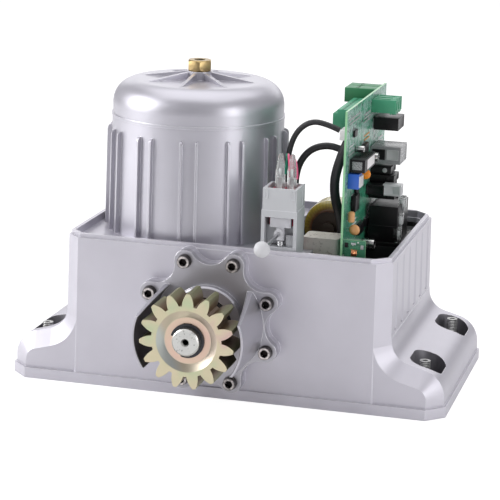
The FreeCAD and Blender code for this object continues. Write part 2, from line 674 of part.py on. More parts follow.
# ----------------------------------------------------------------------------- housing
def base_housing():
    body = new_body("base_housing")
    band = new_sketch(body, "band", "XY_Plane")
    add_outline(band, chamfered("base_length/2", "base_depth/2", "base_corner"))
    pad(body, band, "base_thick")
    walls = new_sketch(body, "walls", "XY_Plane", "base_thick")
    add_outline(walls, chamfered("body_width/2", "body_depth/2", "body_corner"))
    rise = "(rim_height - lip_height - base_thick)"
    pad(body, walls, rise, taper="-atan(draft_inset/%s)" % rise)
    wall_flutes(body)
    lip = new_sketch(body, "lip", "XY_Plane", "rim_height - lip_height")
    add_outline(lip, chamfered(LIP_X, LIP_Y, "body_corner - lip_ledge"))
    pad(body, lip, "lip_height")
    for side in ("-", ""):
        foot_end(body, side)
    seat = new_sketch(body, "cover_seat", "XZ_Plane", PANEL + " - 4")
    add_lobes(seat, "gear_across", "gear_height")
    pad(body, seat, "cover_pad + 4")
    recess = new_sketch(body, "recess", "XY_Plane", "rim_height")
    add_outline(recess, chamfered(INNER_X, INNER_Y, "inner_corner"))
    pocket(body, recess, "deck_drop")
    tub = new_sketch(body, "tub", "XY_Plane", "rim_height")
    add_outline(tub, tub_corners("0"))
    pocket(body, tub, "rim_height - tub_floor")
    chamber = new_sketch(body, "chamber", "XZ_Plane", PAD_FACE)
    add_circle(chamber, "gear_across", "gear_height", "chamber_radius")
    pocket(body, chamber, PAD_FACE + " + rear_seat")
    rear = new_sketch(body, "rear_bore", "XZ_Plane", "-rear_seat")
    add_circle(rear, "gear_across", "gear_height", "big_outer + seat_gap")
    pocket(body, rear, "big_wide + 1")
    worm_steps(body)
    threads = new_sketch(body, "cover_threads", "XZ_Plane", PAD_FACE)
    for i in range(int(value("screw_count"))):
        turn = (i + 0.5) * 360 / value("screw_count")
        x = "gear_across + screw_circle*cos(%g)" % turn
        z = "gear_height + screw_circle*sin(%g)" % turn
        add_circle(threads, x, z, "screw_radius + thread_gap")
    pocket(body, threads, "screw_long - cover_thick + 2")
    foot_holes(body)
    cored_pockets(body)
    return body


def foot_end(body, side):
    """One foot: its profile along Y, and a chamfer all round its front and rear faces."""
    wall, toe = "(body_width/2 - cove_sink)", "foot_reach"
    drop = "(foot_reach - (body_width/2 - cove_sink))*tan(foot_slope)"
    name = "left" if side else "right"

    def profile(sketch, shrink):
        x_wall = "%s(%s - %s)" % (side, wall, shrink)
        x_toe = "%s(%s - %s)" % (side, toe, shrink)
        lower = "(%s)*(1/cos(foot_slope) - tan(foot_slope))" % shrink
        z_wall = "foot_rise - %s" % lower
        z_toe = "foot_rise - %s - %s" % (drop, lower)
        top = "foot_rise + cove_radius - 2"
        inside = "%s(body_width/2 - 26)" % side
        add_outline(sketch, [
            (inside, "base_thick"), (x_toe, "base_thick"), (x_toe, z_toe, "toe_radius - %s" % shrink),
            (x_wall, z_wall, "cove_radius + %s" % shrink), (x_wall, top), (inside, top),
        ])

    middle = new_sketch(body, name + "_foot", "XZ_Plane")
    profile(middle, "0*body_corner")
    pad(body, middle, "2*(%s - cheek_step - body_corner)" % PANEL, middle=True)
    for end, sign in (("front", ""), ("rear", "-")):
        inner = new_sketch(
            body, name + "_" + end, "XZ_Plane", "%s(%s - cheek_step - body_corner)" % (sign, PANEL),
        )
        profile(inner, "0*body_corner")
        outer = new_sketch(
            body, name + "_" + end + "_cheek", "XZ_Plane", "%s(%s - cheek_step)" % (sign, PANEL),
        )
        profile(outer, "body_corner")
        loft(body, inner, outer)


def tub_corners(gap):
    """The tub's outline, drawn in by a gap."""
    left, right = "tub_left + %s" % gap, "(%s - 0.6 - %s)" % (INNER_X, gap)
    back = "(%s - 0.6 - %s)" % (INNER_Y, gap)
    shelf = "-(%s) + shelf_deep + %s" % (INNER_Y, gap)
    return [
        ("shelf_right + %s" % gap, "-%s" % back),
        ("%s - inner_corner" % right, "-%s" % back),
        (right, "-%s + inner_corner" % back),
        (right, "%s - inner_corner" % back),
        ("%s - inner_corner" % right, back),
        (left, back),
        (left, shelf),
        ("shelf_right + %s" % gap, shelf),
    ]


def worm_steps(body):
    """The worm's chamber, open to the deck, with the lower bearing's seat."""
    upper = new_sketch(body, "worm_chamber", "XY_Plane", DECK)
    add_circle(upper, MOTOR_X, "motor_along", "worm_bore + seat_gap")
    pocket(body, upper, DECK + " - foot_seat - foot_wide")
    lower = new_sketch(body, "worm_foot", "XY_Plane", "foot_seat + foot_wide")
    add_circle(lower, MOTOR_X, "motor_along", "foot_outer + seat_gap")
    pocket(body, lower, "foot_wide")
    relief = new_sketch(body, "worm_relief", "XY_Plane", "foot_seat")
    add_circle(relief, MOTOR_X, "motor_along", "foot_journal + 3")
    pocket(body, relief, "3")


def foot_holes(body):
    wells = new_sketch(body, "foot_pockets", "XY_Plane", "foot_rise")
    holes = new_sketch(body, "anchor_holes", "XY_Plane", "pocket_floor + 1")
    for side_x in ("-", ""):
        for side_y in ("-", ""):
            x, y = side_x + "pocket_across", side_y + "pocket_along"
            add_rectangle(
                wells, x + " - pocket_wide/2", y + " - pocket_long/2",
                x + " + pocket_wide/2", y + " + pocket_long/2", "pocket_round",
            )
            add_circle(holes, side_x + "anchor_across", side_y + "anchor_along", "anchor_radius")
            add_circle(holes, side_x + "grub_across", side_y + "grub_along", "grub_radius + thread_gap")
    pocket(body, wells, "foot_rise - pocket_floor")
    pocket(body, holes, "pocket_floor + 2")


def wall_flutes(body):
    """Shallow upright flutes in the right wall, fading out towards the rim."""
    flute = new_sketch(body, "flute", "XY_Plane", "rim_height - lip_height - 3")
    add_circle(flute, "body_width/2 - flute_sink + flute_radius", "-2.5*flute_pitch", "flute_radius")
    first = pocket(body, flute, "rim_height - lip_height - 3 - foot_rise - cove_radius")
    row(body, [first], "Y_Axis", "5*flute_pitch", "6", False)


def cored_pockets(body):
    """Blind cores from below, which keep the casting's walls even."""
    front = "-1.5*core_long - core_rib"
    rear = "%s + core_side + 1" % REAR_SEAT_END
    fields = [
        ("left_cores", "-%s + core_side" % INNER_X, "%s - worm_bore - core_side" % MOTOR_X,
         1, DECK, front, "core_long", 3),
        ("rear_cores", "%s - worm_bore + 4" % MOTOR_X, "tub_left - core_side",
         2, DECK, rear, "rear_core_long", 1),
        ("tub_cores", "tub_left + core_side", "%s - core_side" % INNER_X,
         2, "tub_floor", front, "core_long", 3),
    ]
    for name, left, right, columns, roof, start, long_, rows in fields:
        cell = "((%s) - (%s) - %d*core_rib)/%d" % (right, left, columns - 1, columns)
        cores = new_sketch(body, name, "XY_Plane")
        for column in range(columns):
            from_x = "(%s) + %d*((%s) + core_rib)" % (left, column, cell)
            add_rectangle(cores, from_x, start, "%s + %s" % (from_x, cell), "%s + %s" % (start, long_))
        first = pocket(body, cores, "%s - core_roof" % roof, back=True)
        if rows > 1:
            row(body, [first], "Y_Axis", "%d*(%s + core_rib)" % (rows - 1, long_), str(rows), False)


def levelling_screws():
    body = new_body("levelling_screws")
    shanks = new_sketch(body, "shanks", "XY_Plane", "0.5")
    sockets = new_sketch(body, "sockets", "XY_Plane", "grub_top")
    for side_x in ("-", ""):
        for side_y in ("-", ""):
            add_circle(shanks, side_x + "grub_across", side_y + "grub_along", "grub_radius")
            add_polygon(sockets, side_x + "grub_across", side_y + "grub_along", "grub_socket")
    pad(body, shanks, "grub_top - 0.5")
    pocket(body, sockets, "grub_socket_deep")
    return body


def cover_post():
    body = new_body("cover_post", "post_across", "post_along")
    profile = new_sketch(body, "profile", "XZ_Plane")
    add_outline(profile, [
        ("0", DECK), ("post_radius", DECK), ("post_radius", "(rim_height + post_top) - 1.2"),
        ("post_radius - 1.2", "(rim_height + post_top)"), ("0", "(rim_height + post_top)"),
    ])
    revolve(body, profile, "V_Axis")
    return body


# ----------------------------------------------------------------------------- gear cover
def gear_cover():
    body = new_body("gear_cover", "gear_across", "0", "gear_height")
    flange = new_sketch(body, "flange", "XZ_Plane", PAD_FACE)
    add_lobes(flange)
    pad(body, flange, "cover_thick")
    guard = new_sketch(body, "guard", "YZ_Plane")
    tip = "-(%s + guard_long)" % FLANGE
    outer = "guard_radius + guard_front_wall"
    add_outline(guard, [
        ("-(%s) + 1" % FLANGE, "guard_radius"), ("-(%s) + 1" % FLANGE, "guard_radius + guard_root_wall"),
        (tip, outer, "guard_front_wall/3"), (tip, "guard_radius", "guard_front_wall/3"),
    ])
    revolve(body, guard, "H_Axis")
    opening = new_sketch(body, "rack_way", "YZ_Plane")
    low = "guard_radius*sin(guard_front_turn)"
    high = "guard_radius*sin(guard_root_turn)"
    beyond = "(%s - 5*((%s) - (%s))/guard_long)" % (low, high, low)
    add_outline(opening, [
        ("%s - 5" % tip, beyond), ("-(%s)" % FLANGE, high),
        ("-(%s)" % FLANGE, "guard_radius + 30"), ("%s - 5" % tip, "guard_radius + 30"),
    ])
    pocket(body, opening, "4*guard_radius", middle=True)
    foot = new_sketch(body, "guard_foot", "XZ_Plane", "%s + guard_long + 1" % FLANGE)
    add_rectangle(foot, "-2*guard_radius", "-2*guard_radius", "2*guard_radius", "-guard_foot")
    pocket(body, foot, "guard_long + 1")
    boss = new_sketch(body, "boss", "YZ_Plane")
    back = "-(%s) + spigot_long" % PAD_FACE
    add_outline(boss, [
        (back, "0.5*chamber_radius"), (back, "chamber_radius - spigot_gap"),
        ("-(%s) - 1" % PAD_FACE, "chamber_radius - spigot_gap"), ("-(%s) - 1" % PAD_FACE, "boss_radius"),
        ("-(%s) + boss_chamfer" % BOSS_FACE, "boss_radius"),
        ("-(%s)" % BOSS_FACE, "boss_radius - boss_chamfer"),
        ("-(%s)" % BOSS_FACE, "0.5*chamber_radius"),
    ])
    revolve(body, boss, "H_Axis")
    seal = new_sketch(body, "seal_seat", "XZ_Plane", BOSS_FACE)
    add_circle(seal, "0", "0", "seal_radius + seat_gap")
    pocket(body, seal, "seal_wide")
    way = new_sketch(body, "shaft_way", "XZ_Plane", SEAL_BACK)
    add_circle(way, "0", "0", "shaft_radius + 2")
    pocket(body, way, "%s - %s + spigot_long" % (SEAL_BACK, PAD_FACE))
    seat = new_sketch(body, "bearing_seat", "XZ_Plane", FRONT_SEAT)
    add_circle(seat, "0", "0", "big_outer + seat_gap")
    pocket(body, seat, "%s - %s + spigot_long + 1" % (FRONT_SEAT, PAD_FACE))
    holes = new_sketch(body, "screw_holes", "XZ_Plane", FLANGE)
    for i in range(int(value("screw_count"))):
        turn = (i + 0.5) * 360 / value("screw_count")
        add_circle(
            holes, "screw_circle*cos(%g)" % turn, "screw_circle*sin(%g)" % turn,
            "screw_radius + screw_clear",
        )
    pocket(body, holes, "cover_thick + 1")
    return body


def cover_screws():
    body = new_body("cover_screws", "gear_across", "0", "gear_height")
    turn = 180 / value("screw_count")
    x, z = "screw_circle*cos(%g)" % turn, "screw_circle*sin(%g)" % turn
    head = new_sketch(body, "head", "XZ_Plane", FLANGE)
    add_circle(head, x, z, "screw_head_radius")
    shank = new_sketch(body, "shank", "XZ_Plane", FLANGE)
    add_circle(shank, x, z, "screw_radius")
    socket = new_sketch(body, "socket", "XZ_Plane", FLANGE + " + screw_head")
    add_polygon(socket, x, z, "screw_socket")
    made = [pad(body, head, "screw_head"), pad(body, shank, "screw_long", back=True)]
    made.append(pocket(body, socket, "screw_socket_deep"))
    polar(body, made, "Y_Axis", "screw_count")
    return body


def bearing(label, bore, outer, wide, axis, x, y, z):
    """A sealed bearing as one ring with its shields below the faces, lying along Y or Z from its place."""
    body = new_body(label, x, y, z)
    profile = new_sketch(body, "profile", "XZ_Plane" if axis == "V_Axis" else "YZ_Plane")
    stations = [
        ("0", bore), ("0", bore + " + ring_wall"), ("shield_sink", bore + " + ring_wall"),
        ("shield_sink", outer + " - ring_wall"), ("0", outer + " - ring_wall"), ("0", outer),
        (wide, outer), (wide, outer + " - ring_wall"), (wide + " - shield_sink", outer + " - ring_wall"),
        (wide + " - shield_sink", bore + " + ring_wall"), (wide, bore + " + ring_wall"), (wide, bore),
    ]
    add_outline(profile, [(r, a) if axis == "V_Axis" else (a, r) for a, r in stations])
    revolve(body, profile, axis)
    return body


def oil_seal():
    body = new_body("oil_seal", "gear_across", "-(%s)" % BOSS_FACE, "gear_height")
    profile = new_sketch(body, "profile", "YZ_Plane")
    add_outline(profile, [
        ("0.3", "shaft_radius + 0.1"), ("0.3", "seal_radius"), ("seal_wide", "seal_radius"),
        ("seal_wide", "seal_radius - 1.5"), ("2.3", "seal_radius - 1.5"), ("2.3", "shaft_radius + 2"),
        ("5", "shaft_radius + 2"), ("5", "shaft_radius + 0.1"),
    ])
    revolve(body, profile, "H_Axis")
    return body


# ----------------------------------------------------------------------------- output shaft
def output_shaft():
    body = new_body("output_shaft", "gear_across", "0", "gear_height")
    profile = new_sketch(body, "profile", "YZ_Plane")
    end = "-(%s)" % SHAFT_END
    groove_back = "-(%s)" % PINION_FLOOR
    groove_front = "-(%s) - clip_thick - 2*clip_slack" % PINION_FLOOR
    add_outline(profile, [
        (end, "0"), (end, "pinion_seat - shaft_chamfer"), (end + " + shaft_chamfer", "pinion_seat"),
        (groove_front, "pinion_seat"), (groove_front, "pinion_seat - clip_groove"),
        (groove_back, "pinion_seat - clip_groove"), (groove_back, "pinion_seat"),
        ("-pinion_back + 0.5", "pinion_seat"), ("-pinion_back + 0.5", "shaft_radius"),
        ("-(%s)" % FRONT_SEAT_BACK, "shaft_radius"), ("-(%s)" % FRONT_SEAT_BACK, "shaft_shoulder"),
        ("motor_along - hub_face/2 - 0.2", "shaft_shoulder"),
        ("motor_along - hub_face/2 - 0.2", "wheel_seat"),
        ("rear_seat - 0.5", "wheel_seat"), ("rear_seat - 0.5", "big_bore - journal_gap"),
        (REAR_SEAT_END + " - 0.5", "big_bore - journal_gap"), (REAR_SEAT_END + " - 0.5", "0"),
    ])
    revolve(body, profile, "H_Axis")
    centre = new_sketch(body, "centre", "YZ_Plane")
    add_outline(centre, [(end, "0"), (end, "centre_hole"), (end + " + 1.6*centre_hole", "0")])
    groove(body, centre, "H_Axis")
    for name, seat, front, long_ in (
        ("pinion_keyway", "pinion_seat", "-pinion_back - pinion_face/2", "pinion_key_long"),
        ("wheel_keyway", "wheel_seat", "motor_along", "wheel_key_long"),
    ):
        way = new_sketch(body, name, "XY_Plane", seat + " - key_sink - key_gap")
        reach = "((%s)/2 + key_gap)" % long_
        add_rectangle(
            way, "-key_wide/2 - key_gap", "%s - %s" % (front, reach), "key_wide/2 + key_gap",
            "%s + %s" % (front, reach),
        )
        pocket(body, way, "key_sink + 5", back=True)
    return body


def key(name, seat, middle, long_):
    block = DOC.addObject("Part::Box", name)
    block.setExpression("Length", term("key_wide"))
    block.setExpression("Width", term(long_))
    block.setExpression("Height", term("key_sink + key_proud"))
    block.setExpression("Placement.Base.x", term("gear_across - key_wide/2"))
    block.setExpression("Placement.Base.y", term("%s - %s/2" % (middle, long_)))
    block.setExpression("Placement.Base.z", term("gear_height + %s - key_sink" % seat))
    return block


def grouped(label, pieces):
    """Separate pieces of one kind as one sub-part."""
    group = DOC.addObject("Part::MultiFuse", label)
    group.Shapes = pieces
    return group


def shaft_keys():
    return grouped("shaft_keys", [
        key("front_key", "pinion_seat", "-pinion_back - pinion_face/2", "pinion_key_long"),
        key("rear_key", "wheel_seat", "motor_along", "wheel_key_long"),
    ])


def keyway_in_hub(body, name, seat, low, high):
    """A keyway through a hub, from low to high along Y."""
    way = new_sketch(body, name, "XZ_Plane", "-(%s)" % low)
    add_rectangle(
        way, "-key_wide/2 - key_gap", "0.5*(%s)" % seat, "key_wide/2 + key_gap",
        "%s + key_proud + key_gap" % seat,
    )
    pocket(body, way, "(%s) - (%s)" % (high, low))


def pinion():
    body = new_body("pinion", "gear_across", "0", "gear_height")
    root = "(pinion_module*(pinion_teeth/2 - 1.25 + pinion_shift))"
    tip = "(pinion_module*(pinion_teeth/2 + 1 + pinion_shift))"
    blank = new_sketch(body, "blank", "YZ_Plane")
    front, back = "-(%s)" % PINION_FRONT, "-pinion_back"
    add_outline(blank, [
        (back, "pinion_seat + 0.01"), (back, root), (front, root), (front, "pinion_dish"),
        (front + " + pinion_dish_deep", "pinion_floor"),
        (front + " + pinion_dish_deep", "pinion_seat + 0.01"),
    ])
    revolve(body, blank, "H_Axis")
    tooth = new_sketch(body, "tooth", "XZ_Plane", "pinion_back", turn="pinion_turn")
    foot, top, flank = "1.05*pinion_module", "0.3*pinion_module", "4.2*pinion_module"
    crest = "sqrt(%s^2 - (%s)^2)" % (tip, top)
    add_outline(tooth, [
        (foot, root + " - 1"), (foot, root, None, flank, True),
        (top, crest), ("-(%s)" % top, crest, None, flank, True),
        ("-(%s)" % foot, root), ("-(%s)" % foot, root + " - 1"),
    ])
    first = pad(body, tooth, "pinion_face")
    polar(body, [first], "Y_Axis", "pinion_teeth")
    keyway_in_hub(body, "keyway", "pinion_seat", front, back)
    return body


def pinion_collar():
    body = new_body("pinion_collar", "gear_across", "0", "gear_height")
    ring = new_sketch(body, "ring", "XZ_Plane", "%s + collar_gap" % BOSS_FACE)
    add_circle(ring, "0", "0", "collar_radius")
    add_circle(ring, "0", "0", "shaft_radius + 0.05")
    pad(body, ring, "pinion_back - %s - collar_gap" % BOSS_FACE)
    return body


def circlip():
    """A ring open at its lower left."""
    body = new_body("circlip", "gear_across", "0", "gear_height")
    ring = new_sketch(body, "ring", "XZ_Plane", "%s + clip_slack" % PINION_FLOOR)
    inner, outer = "(pinion_seat - clip_groove + 0.05)", "(pinion_seat - clip_groove + clip_wide)"
    low, high = "(clip_gap_middle - clip_gap_turn)", "(clip_gap_middle + clip_gap_turn)"
    start, end = value(high), value(low) + 360
    edges = []
    for radius in (inner, outer):
        circle = Part.Circle(Vector(), Vector(0, 0, 1), value(radius))
        index = ring.addGeometry(Part.ArcOfCircle(circle, math.radians(start), math.radians(end)), False)
        pin_point(ring, index, 3, "0", "0")
        hold_radius(ring, index, radius)
        edges.append(index)
    for vertex, turn in ((1, high), (2, low)):
        inside = [value("%s*cos%s" % (inner, turn)), value("%s*sin%s" % (inner, turn))]
        outside = [value("%s*cos%s" % (outer, turn)), value("%s*sin%s" % (outer, turn))]
        line = Part.LineSegment(Vector(inside[0], inside[1], 0), Vector(outside[0], outside[1], 0))
        index = ring.addGeometry(line, False)
        ring.addConstraint(Sketcher.Constraint("Coincident", index, 1, edges[0], vertex))
        ring.addConstraint(Sketcher.Constraint("Coincident", index, 2, edges[1], vertex))
        held = ring.addConstraint(Sketcher.Constraint("DistanceX", -1, 1, index, 1, inside[0]))
        ring.setExpression("Constraints[%d]" % held, term("%s*cos%s" % (inner, turn)))
        held = ring.addConstraint(Sketcher.Constraint("DistanceX", -1, 1, index, 2, outside[0]))
        ring.setExpression("Constraints[%d]" % held, term("%s*cos%s" % (outer, turn)))
    pad(body, ring, "clip_thick")
    return body


# ----------------------------------------------------------------------------- worm drive
def worm_wheel():
    body = new_body("worm_wheel", "gear_across", "motor_along", "gear_height")
    pitch, root = "(worm_module*wheel_teeth/2)", "(worm_module*(wheel_teeth/2 - 1.2))"
    tip = "(worm_module*(wheel_teeth/2 + 0.95))"
    blank = new_sketch(body, "blank", "YZ_Plane")
    rim = root + " - 4"
    half, deep = "wheel_face/2", "(wheel_face/2 - web_deep)"
    add_outline(blank, [
        ("-hub_face/2", "wheel_seat + 0.01"), ("-hub_face/2", "hub_radius"), ("-" + deep, "hub_radius"),
        ("-" + deep, rim), ("-" + half, rim), ("-" + half, root), (half, root), (half, rim),
        (deep, rim), (deep, "hub_radius"), ("hub_face/2", "hub_radius"), ("hub_face/2", "wheel_seat + 0.01"),
    ])
    revolve(body, blank, "H_Axis")
    lead = "(worm_module/(2*worm_radius))"
    twist = "(%s*wheel_face/2/%s*180/pi)" % (lead, pitch)
    faces = []
    for name, lift, turn in (("tooth_front", half, twist), ("tooth_back", "-" + half, "-" + twist)):
        tooth = new_sketch(body, name, "XZ_Plane", lift, turn=turn)
        mid = "(worm_module*pi/4 - flank_gap)"
        slope = "tan(20)"
        foot = "(%s + 1.2*worm_module*%s)" % (mid, slope)
        top = "(%s - 0.95*worm_module*%s)" % (mid, slope)
        add_outline(tooth, [
            ("-%s + 1" % root, foot), ("-%s" % root, foot), ("-%s" % tip, top),
            ("-%s" % tip, "-" + top), ("-%s" % root, "-" + foot), ("-%s + 1" % root, "-" + foot),
        ])
        faces.append(tooth)
    first = loft(body, faces[0], faces[1])
    polar(body, [first], "Y_Axis", "wheel_teeth")
    keyway_in_hub(body, "keyway", "wheel_seat", "-hub_face/2", "hub_face/2")
    return body


def worm_shaft():
    """The motor's shaft with the worm cut on its lower part."""
    body = new_body("worm_shaft", MOTOR_X, "motor_along")
    root = "(worm_radius - 1.2*worm_module)"
    long_ = "worm_turns*pi*worm_module"
    low = "gear_height - (%s)/2 - 3" % long_
    high = "gear_height + (%s)/2 + 3" % long_
    top = "(rim_height + end_journal_foot) + worm_bearing_wide - 0.5"
    profile = new_sketch(body, "profile", "XZ_Plane")
    add_outline(profile, [
        ("0", "foot_seat + 0.5"), ("foot_journal - journal_gap", "foot_seat + 0.5"),
        ("foot_journal - journal_gap", "foot_seat + foot_wide"), (root + " + 2", "foot_seat + foot_wide"),
        (root + " + 2", low), (root, low), (root, high), (root + " + 2", high),
        (root + " + 2", UPPER_SEAT), ("worm_journal - journal_gap", UPPER_SEAT),
        ("worm_journal - journal_gap", UPPER_SEAT + " + worm_bearing_wide"),
        ("rotor_shaft", UPPER_SEAT + " + worm_bearing_wide"),
        ("rotor_shaft", "(rim_height + end_journal_foot)"),
        ("worm_journal - journal_gap", "(rim_height + end_journal_foot)"),
        ("worm_journal - journal_gap", top), ("0", top),
    ])
    revolve(body, profile, "V_Axis")
    thread = new_sketch(body, "thread", "XZ_Plane")
    start = "(gear_height - (%s)/2)" % long_
    mid = "(worm_module*pi/4 - flank_gap)"
    foot = "(%s + 1.2*worm_module*tan(20) + 0.1)" % mid
    tip = "(%s - worm_module*tan(20))" % mid
    add_outline(thread, [
        (root + " - 0.3", "%s - %s" % (start, foot)), ("worm_radius + worm_module", "%s - %s" % (start, tip)),
        ("worm_radius + worm_module", "%s + %s" % (start, tip)), (root + " - 0.3", "%s + %s" % (start, foot)),
    ])
    helix = body.newObject("PartDesign::AdditiveHelix", "thread_helix")
    helix.Profile = thread
    helix.ReferenceAxis = (thread, ["V_Axis"])
    helix.Mode = "pitch-turns-angle"
    helix.setExpression("Pitch", term("pi*worm_module"))
    helix.setExpression("Turns", term("worm_turns"))
    settle(body, helix, True)
    return body


def rotor_core():
    body = new_body("rotor_core", MOTOR_X, "motor_along")
    profile = new_sketch(body, "profile", "XZ_Plane")
    outer = "stator_bore - air_gap"
    add_outline(profile, [
        ("rotor_shaft + 0.01", "(rim_height + stator_foot) - 4"),
        (outer + " - 3", "(rim_height + stator_foot) - 4"),
        (outer + " - 3", "(rim_height + stator_foot)"), (outer, "(rim_height + stator_foot)"),
        (outer, "(rim_height + stator_top)"),
        (outer + " - 3", "(rim_height + stator_top)"), (outer + " - 3", "(rim_height + stator_top) + 4"),
        ("rotor_shaft + 0.01", "(rim_height + stator_top) + 4"),
    ])
    revolve(body, profile, "V_Axis")
    return body


# ----------------------------------------------------------------------------- motor
def motor_can():
    body = new_body("motor_can", MOTOR_X, "motor_along")
    profile = new_sketch(body, "profile", "XZ_Plane")
    inner = "(stator_radius + stator_gap)"
    add_outline(profile, [
        (inner, DECK), ("can_foot_radius", DECK), ("can_top_radius", "(rim_height + seam_height)"),
        (inner, "(rim_height + seam_height)"),
    ])
    revolve(body, profile, "V_Axis")
    lean = "((can_foot_radius - can_top_radius)/((rim_height + seam_height) - %s))" % DECK
    made = []
    for name, spread in (("rib_left", "-rib_spread"), ("rib_right", "rib_spread")):
        rib = new_sketch(body, name, "XZ_Plane", swing="rib_turn - 90 + %s" % spread)
        root = "(can_top_radius - 1.5)"
        outer_low = "(can_foot_radius - %s*((rim_height + rib_foot) - %s) + rib_proud)" % (lean, DECK)
        outer_high = "(can_foot_radius - %s*((rim_height + rib_top) - %s) + rib_proud)" % (lean, DECK)
        add_outline(rib, [
            (root, "(rim_height + rib_foot)"), (outer_low, "(rim_height + rib_foot)"),
            (outer_high, "(rim_height + rib_top)", "rib_proud - 0.2"), (root, "(rim_height + rib_top)"),
        ])
        made.append(pad(body, rib, "rib_thick", middle=True))
    polar(body, made, "Z_Axis", "rib_count")
    return body


def end_cap():
    body = new_body("end_cap", MOTOR_X, "motor_along")
    profile = new_sketch(body, "profile", "XZ_Plane")
    seat_top = "(rim_height + end_journal_foot) + worm_bearing_wide"
    boss = "(rim_height + cap_height) + boss_height"
    inner = "(cap_radius - cap_wall)"
    roof = "(rim_height + cap_height) - cap_wall"
    floor = boss + " - bore_deep"
    add_outline(profile, [
        ("0", seat_top), ("0", floor), ("nut_bore + bore_step", floor), ("nut_bore + bore_step", boss),
        ("boss_top", boss), ("boss_top", "(rim_height + cap_height)"),
        ("cap_radius", "(rim_height + cap_height)", "cap_round"),
        ("cap_radius", "(rim_height + seam_height) + bead_height"),
        ("cap_radius + bead_proud", "(rim_height + seam_height) + bead_height"),
        ("cap_radius + bead_proud", "(rim_height + seam_height)"),
        (inner, "(rim_height + seam_height)"), (inner, roof, "cap_round - cap_wall"), ("worm_bore + 5", roof),
        ("worm_bore + 4", "(rim_height + end_journal_foot)"),
        ("worm_bore + seat_gap", "(rim_height + end_journal_foot)"),
        ("worm_bore + seat_gap", seat_top),
    ])
    revolve(body, profile, "V_Axis")
    spoke = new_sketch(body, "spoke", "XZ_Plane", swing="spoke_turn")
    add_outline(spoke, [
        ("boss_top - 2", "(rim_height + cap_height) - 2"), ("spoke_reach", "(rim_height + cap_height) - 2"),
        ("spoke_reach", "(rim_height + cap_height) - 1"),
        ("boss_top", "(rim_height + cap_height) + spoke_rise"),
        ("boss_top - 2", "(rim_height + cap_height) + spoke_rise"),
    ])
    first = pad(body, spoke, "spoke_thick", middle=True)
    polar(body, [first], "Z_Axis", "spoke_count")
    return body


def cap_nut():
    body = new_body("cap_nut", MOTOR_X, "motor_along", "(rim_height + cap_height) + boss_height")
    hexagon = new_sketch(body, "hexagon", "XY_Plane")
    add_polygon(hexagon, "0", "0", "nut_flats/2")
    pad(body, hexagon, "nut_height")
    bore = new_sketch(body, "bore", "XY_Plane", "nut_height")
    add_circle(bore, "0", "0", "nut_bore")
    pocket(body, bore, "nut_height")
    return body


def stator_core():
    body = new_body("stator_core", MOTOR_X, "motor_along", "(rim_height + stator_foot)")
    ring = new_sketch(body, "ring", "XY_Plane")
    add_circle(ring, "0", "0", "stator_radius")
    add_circle(ring, "0", "0", "stator_bore")
    pad(body, ring, "stator_top - stator_foot")
    return body


def stator_windings():
    body = new_body("stator_windings", MOTOR_X, "motor_along")
    profile = new_sketch(body, "profile", "XZ_Plane")
    add_rectangle(
        profile, "winding_inner", "(rim_height + stator_top)", "winding_outer",
        "(rim_height + stator_top) + winding_high",
    )
    add_rectangle(
        profile, "winding_inner", "(rim_height + stator_foot) - winding_high", "winding_outer",
        "(rim_height + stator_foot)",
    )
    revolve(body, profile, "V_Axis")
    return body


# ----------------------------------------------------------------------------- limit switch
SWITCH_FRONT = "-switch_front"
SWITCH_BACK = "(-switch_front + switch_deep)"
MICRO_LEFT = "(pivot_across - micro_gap/2 - micro_wide)"
MICRO_RIGHT = "(pivot_across + micro_gap/2)"
FRAME_BASE = "(rim_height - deck_drop + 3)"


def limit_switch_frame():
    """A frame with a window for the lever, standing on the tub's shelf."""
    body = new_body("limit_switch_frame")
    block = new_sketch(body, "block", "XY_Plane", DECK)
    add_rectangle(block, "switch_left", SWITCH_FRONT, "switch_right", SWITCH_BACK)
    pad(body, block, "(rim_height + frame_top) - %s" % DECK)
    window = new_sketch(body, "window", "XZ_Plane", "switch_front")
    add_rectangle(
        window, "switch_left + window_side", "(rim_height + window_foot)", "switch_right - window_side", "(rim_height + window_top)",
    )
    pocket(body, window, "switch_deep")
    cells = new_sketch(body, "cells", "XY_Plane", "(rim_height + frame_top)")
    add_rectangle(
        cells, "switch_left + window_side", "-micro_front - 0.2",
        "switch_right - window_side", SWITCH_BACK,
    )
    pocket(body, cells, "frame_top - window_foot - 1")
    pin = new_sketch(body, "pin_hole", "XY_Plane", "(rim_height + frame_top)")
    add_circle(pin, "pivot_across", "-pivot_front", "pivot_radius + 0.02")
    pocket(body, pin, "(rim_height + frame_top) - %s" % FRAME_BASE)
    screws = new_sketch(body, "screw_holes", "XY_Plane", "(rim_height + window_foot)")
    for side in ("-", "+"):
        add_circle(
            screws, "pivot_across %s screw_spread" % side, "%s - screw_inset" % SWITCH_BACK,
            "frame_screw + 0.15",
        )
    pocket(body, screws, "(rim_height + window_foot) - %s" % DECK)
    return body


def pivot_pin():
    pin = DOC.addObject("Part::Cylinder", "pivot_pin")
    pin.setExpression("Radius", term("pivot_radius"))
    pin.setExpression("Height", term("(rim_height + frame_top) - 0.5 - %s" % FRAME_BASE))
    pin.setExpression("Placement.Base.x", term("pivot_across"))
    pin.setExpression("Placement.Base.y", term("-pivot_front"))
    pin.setExpression("Placement.Base.z", term(FRAME_BASE))
    return pin


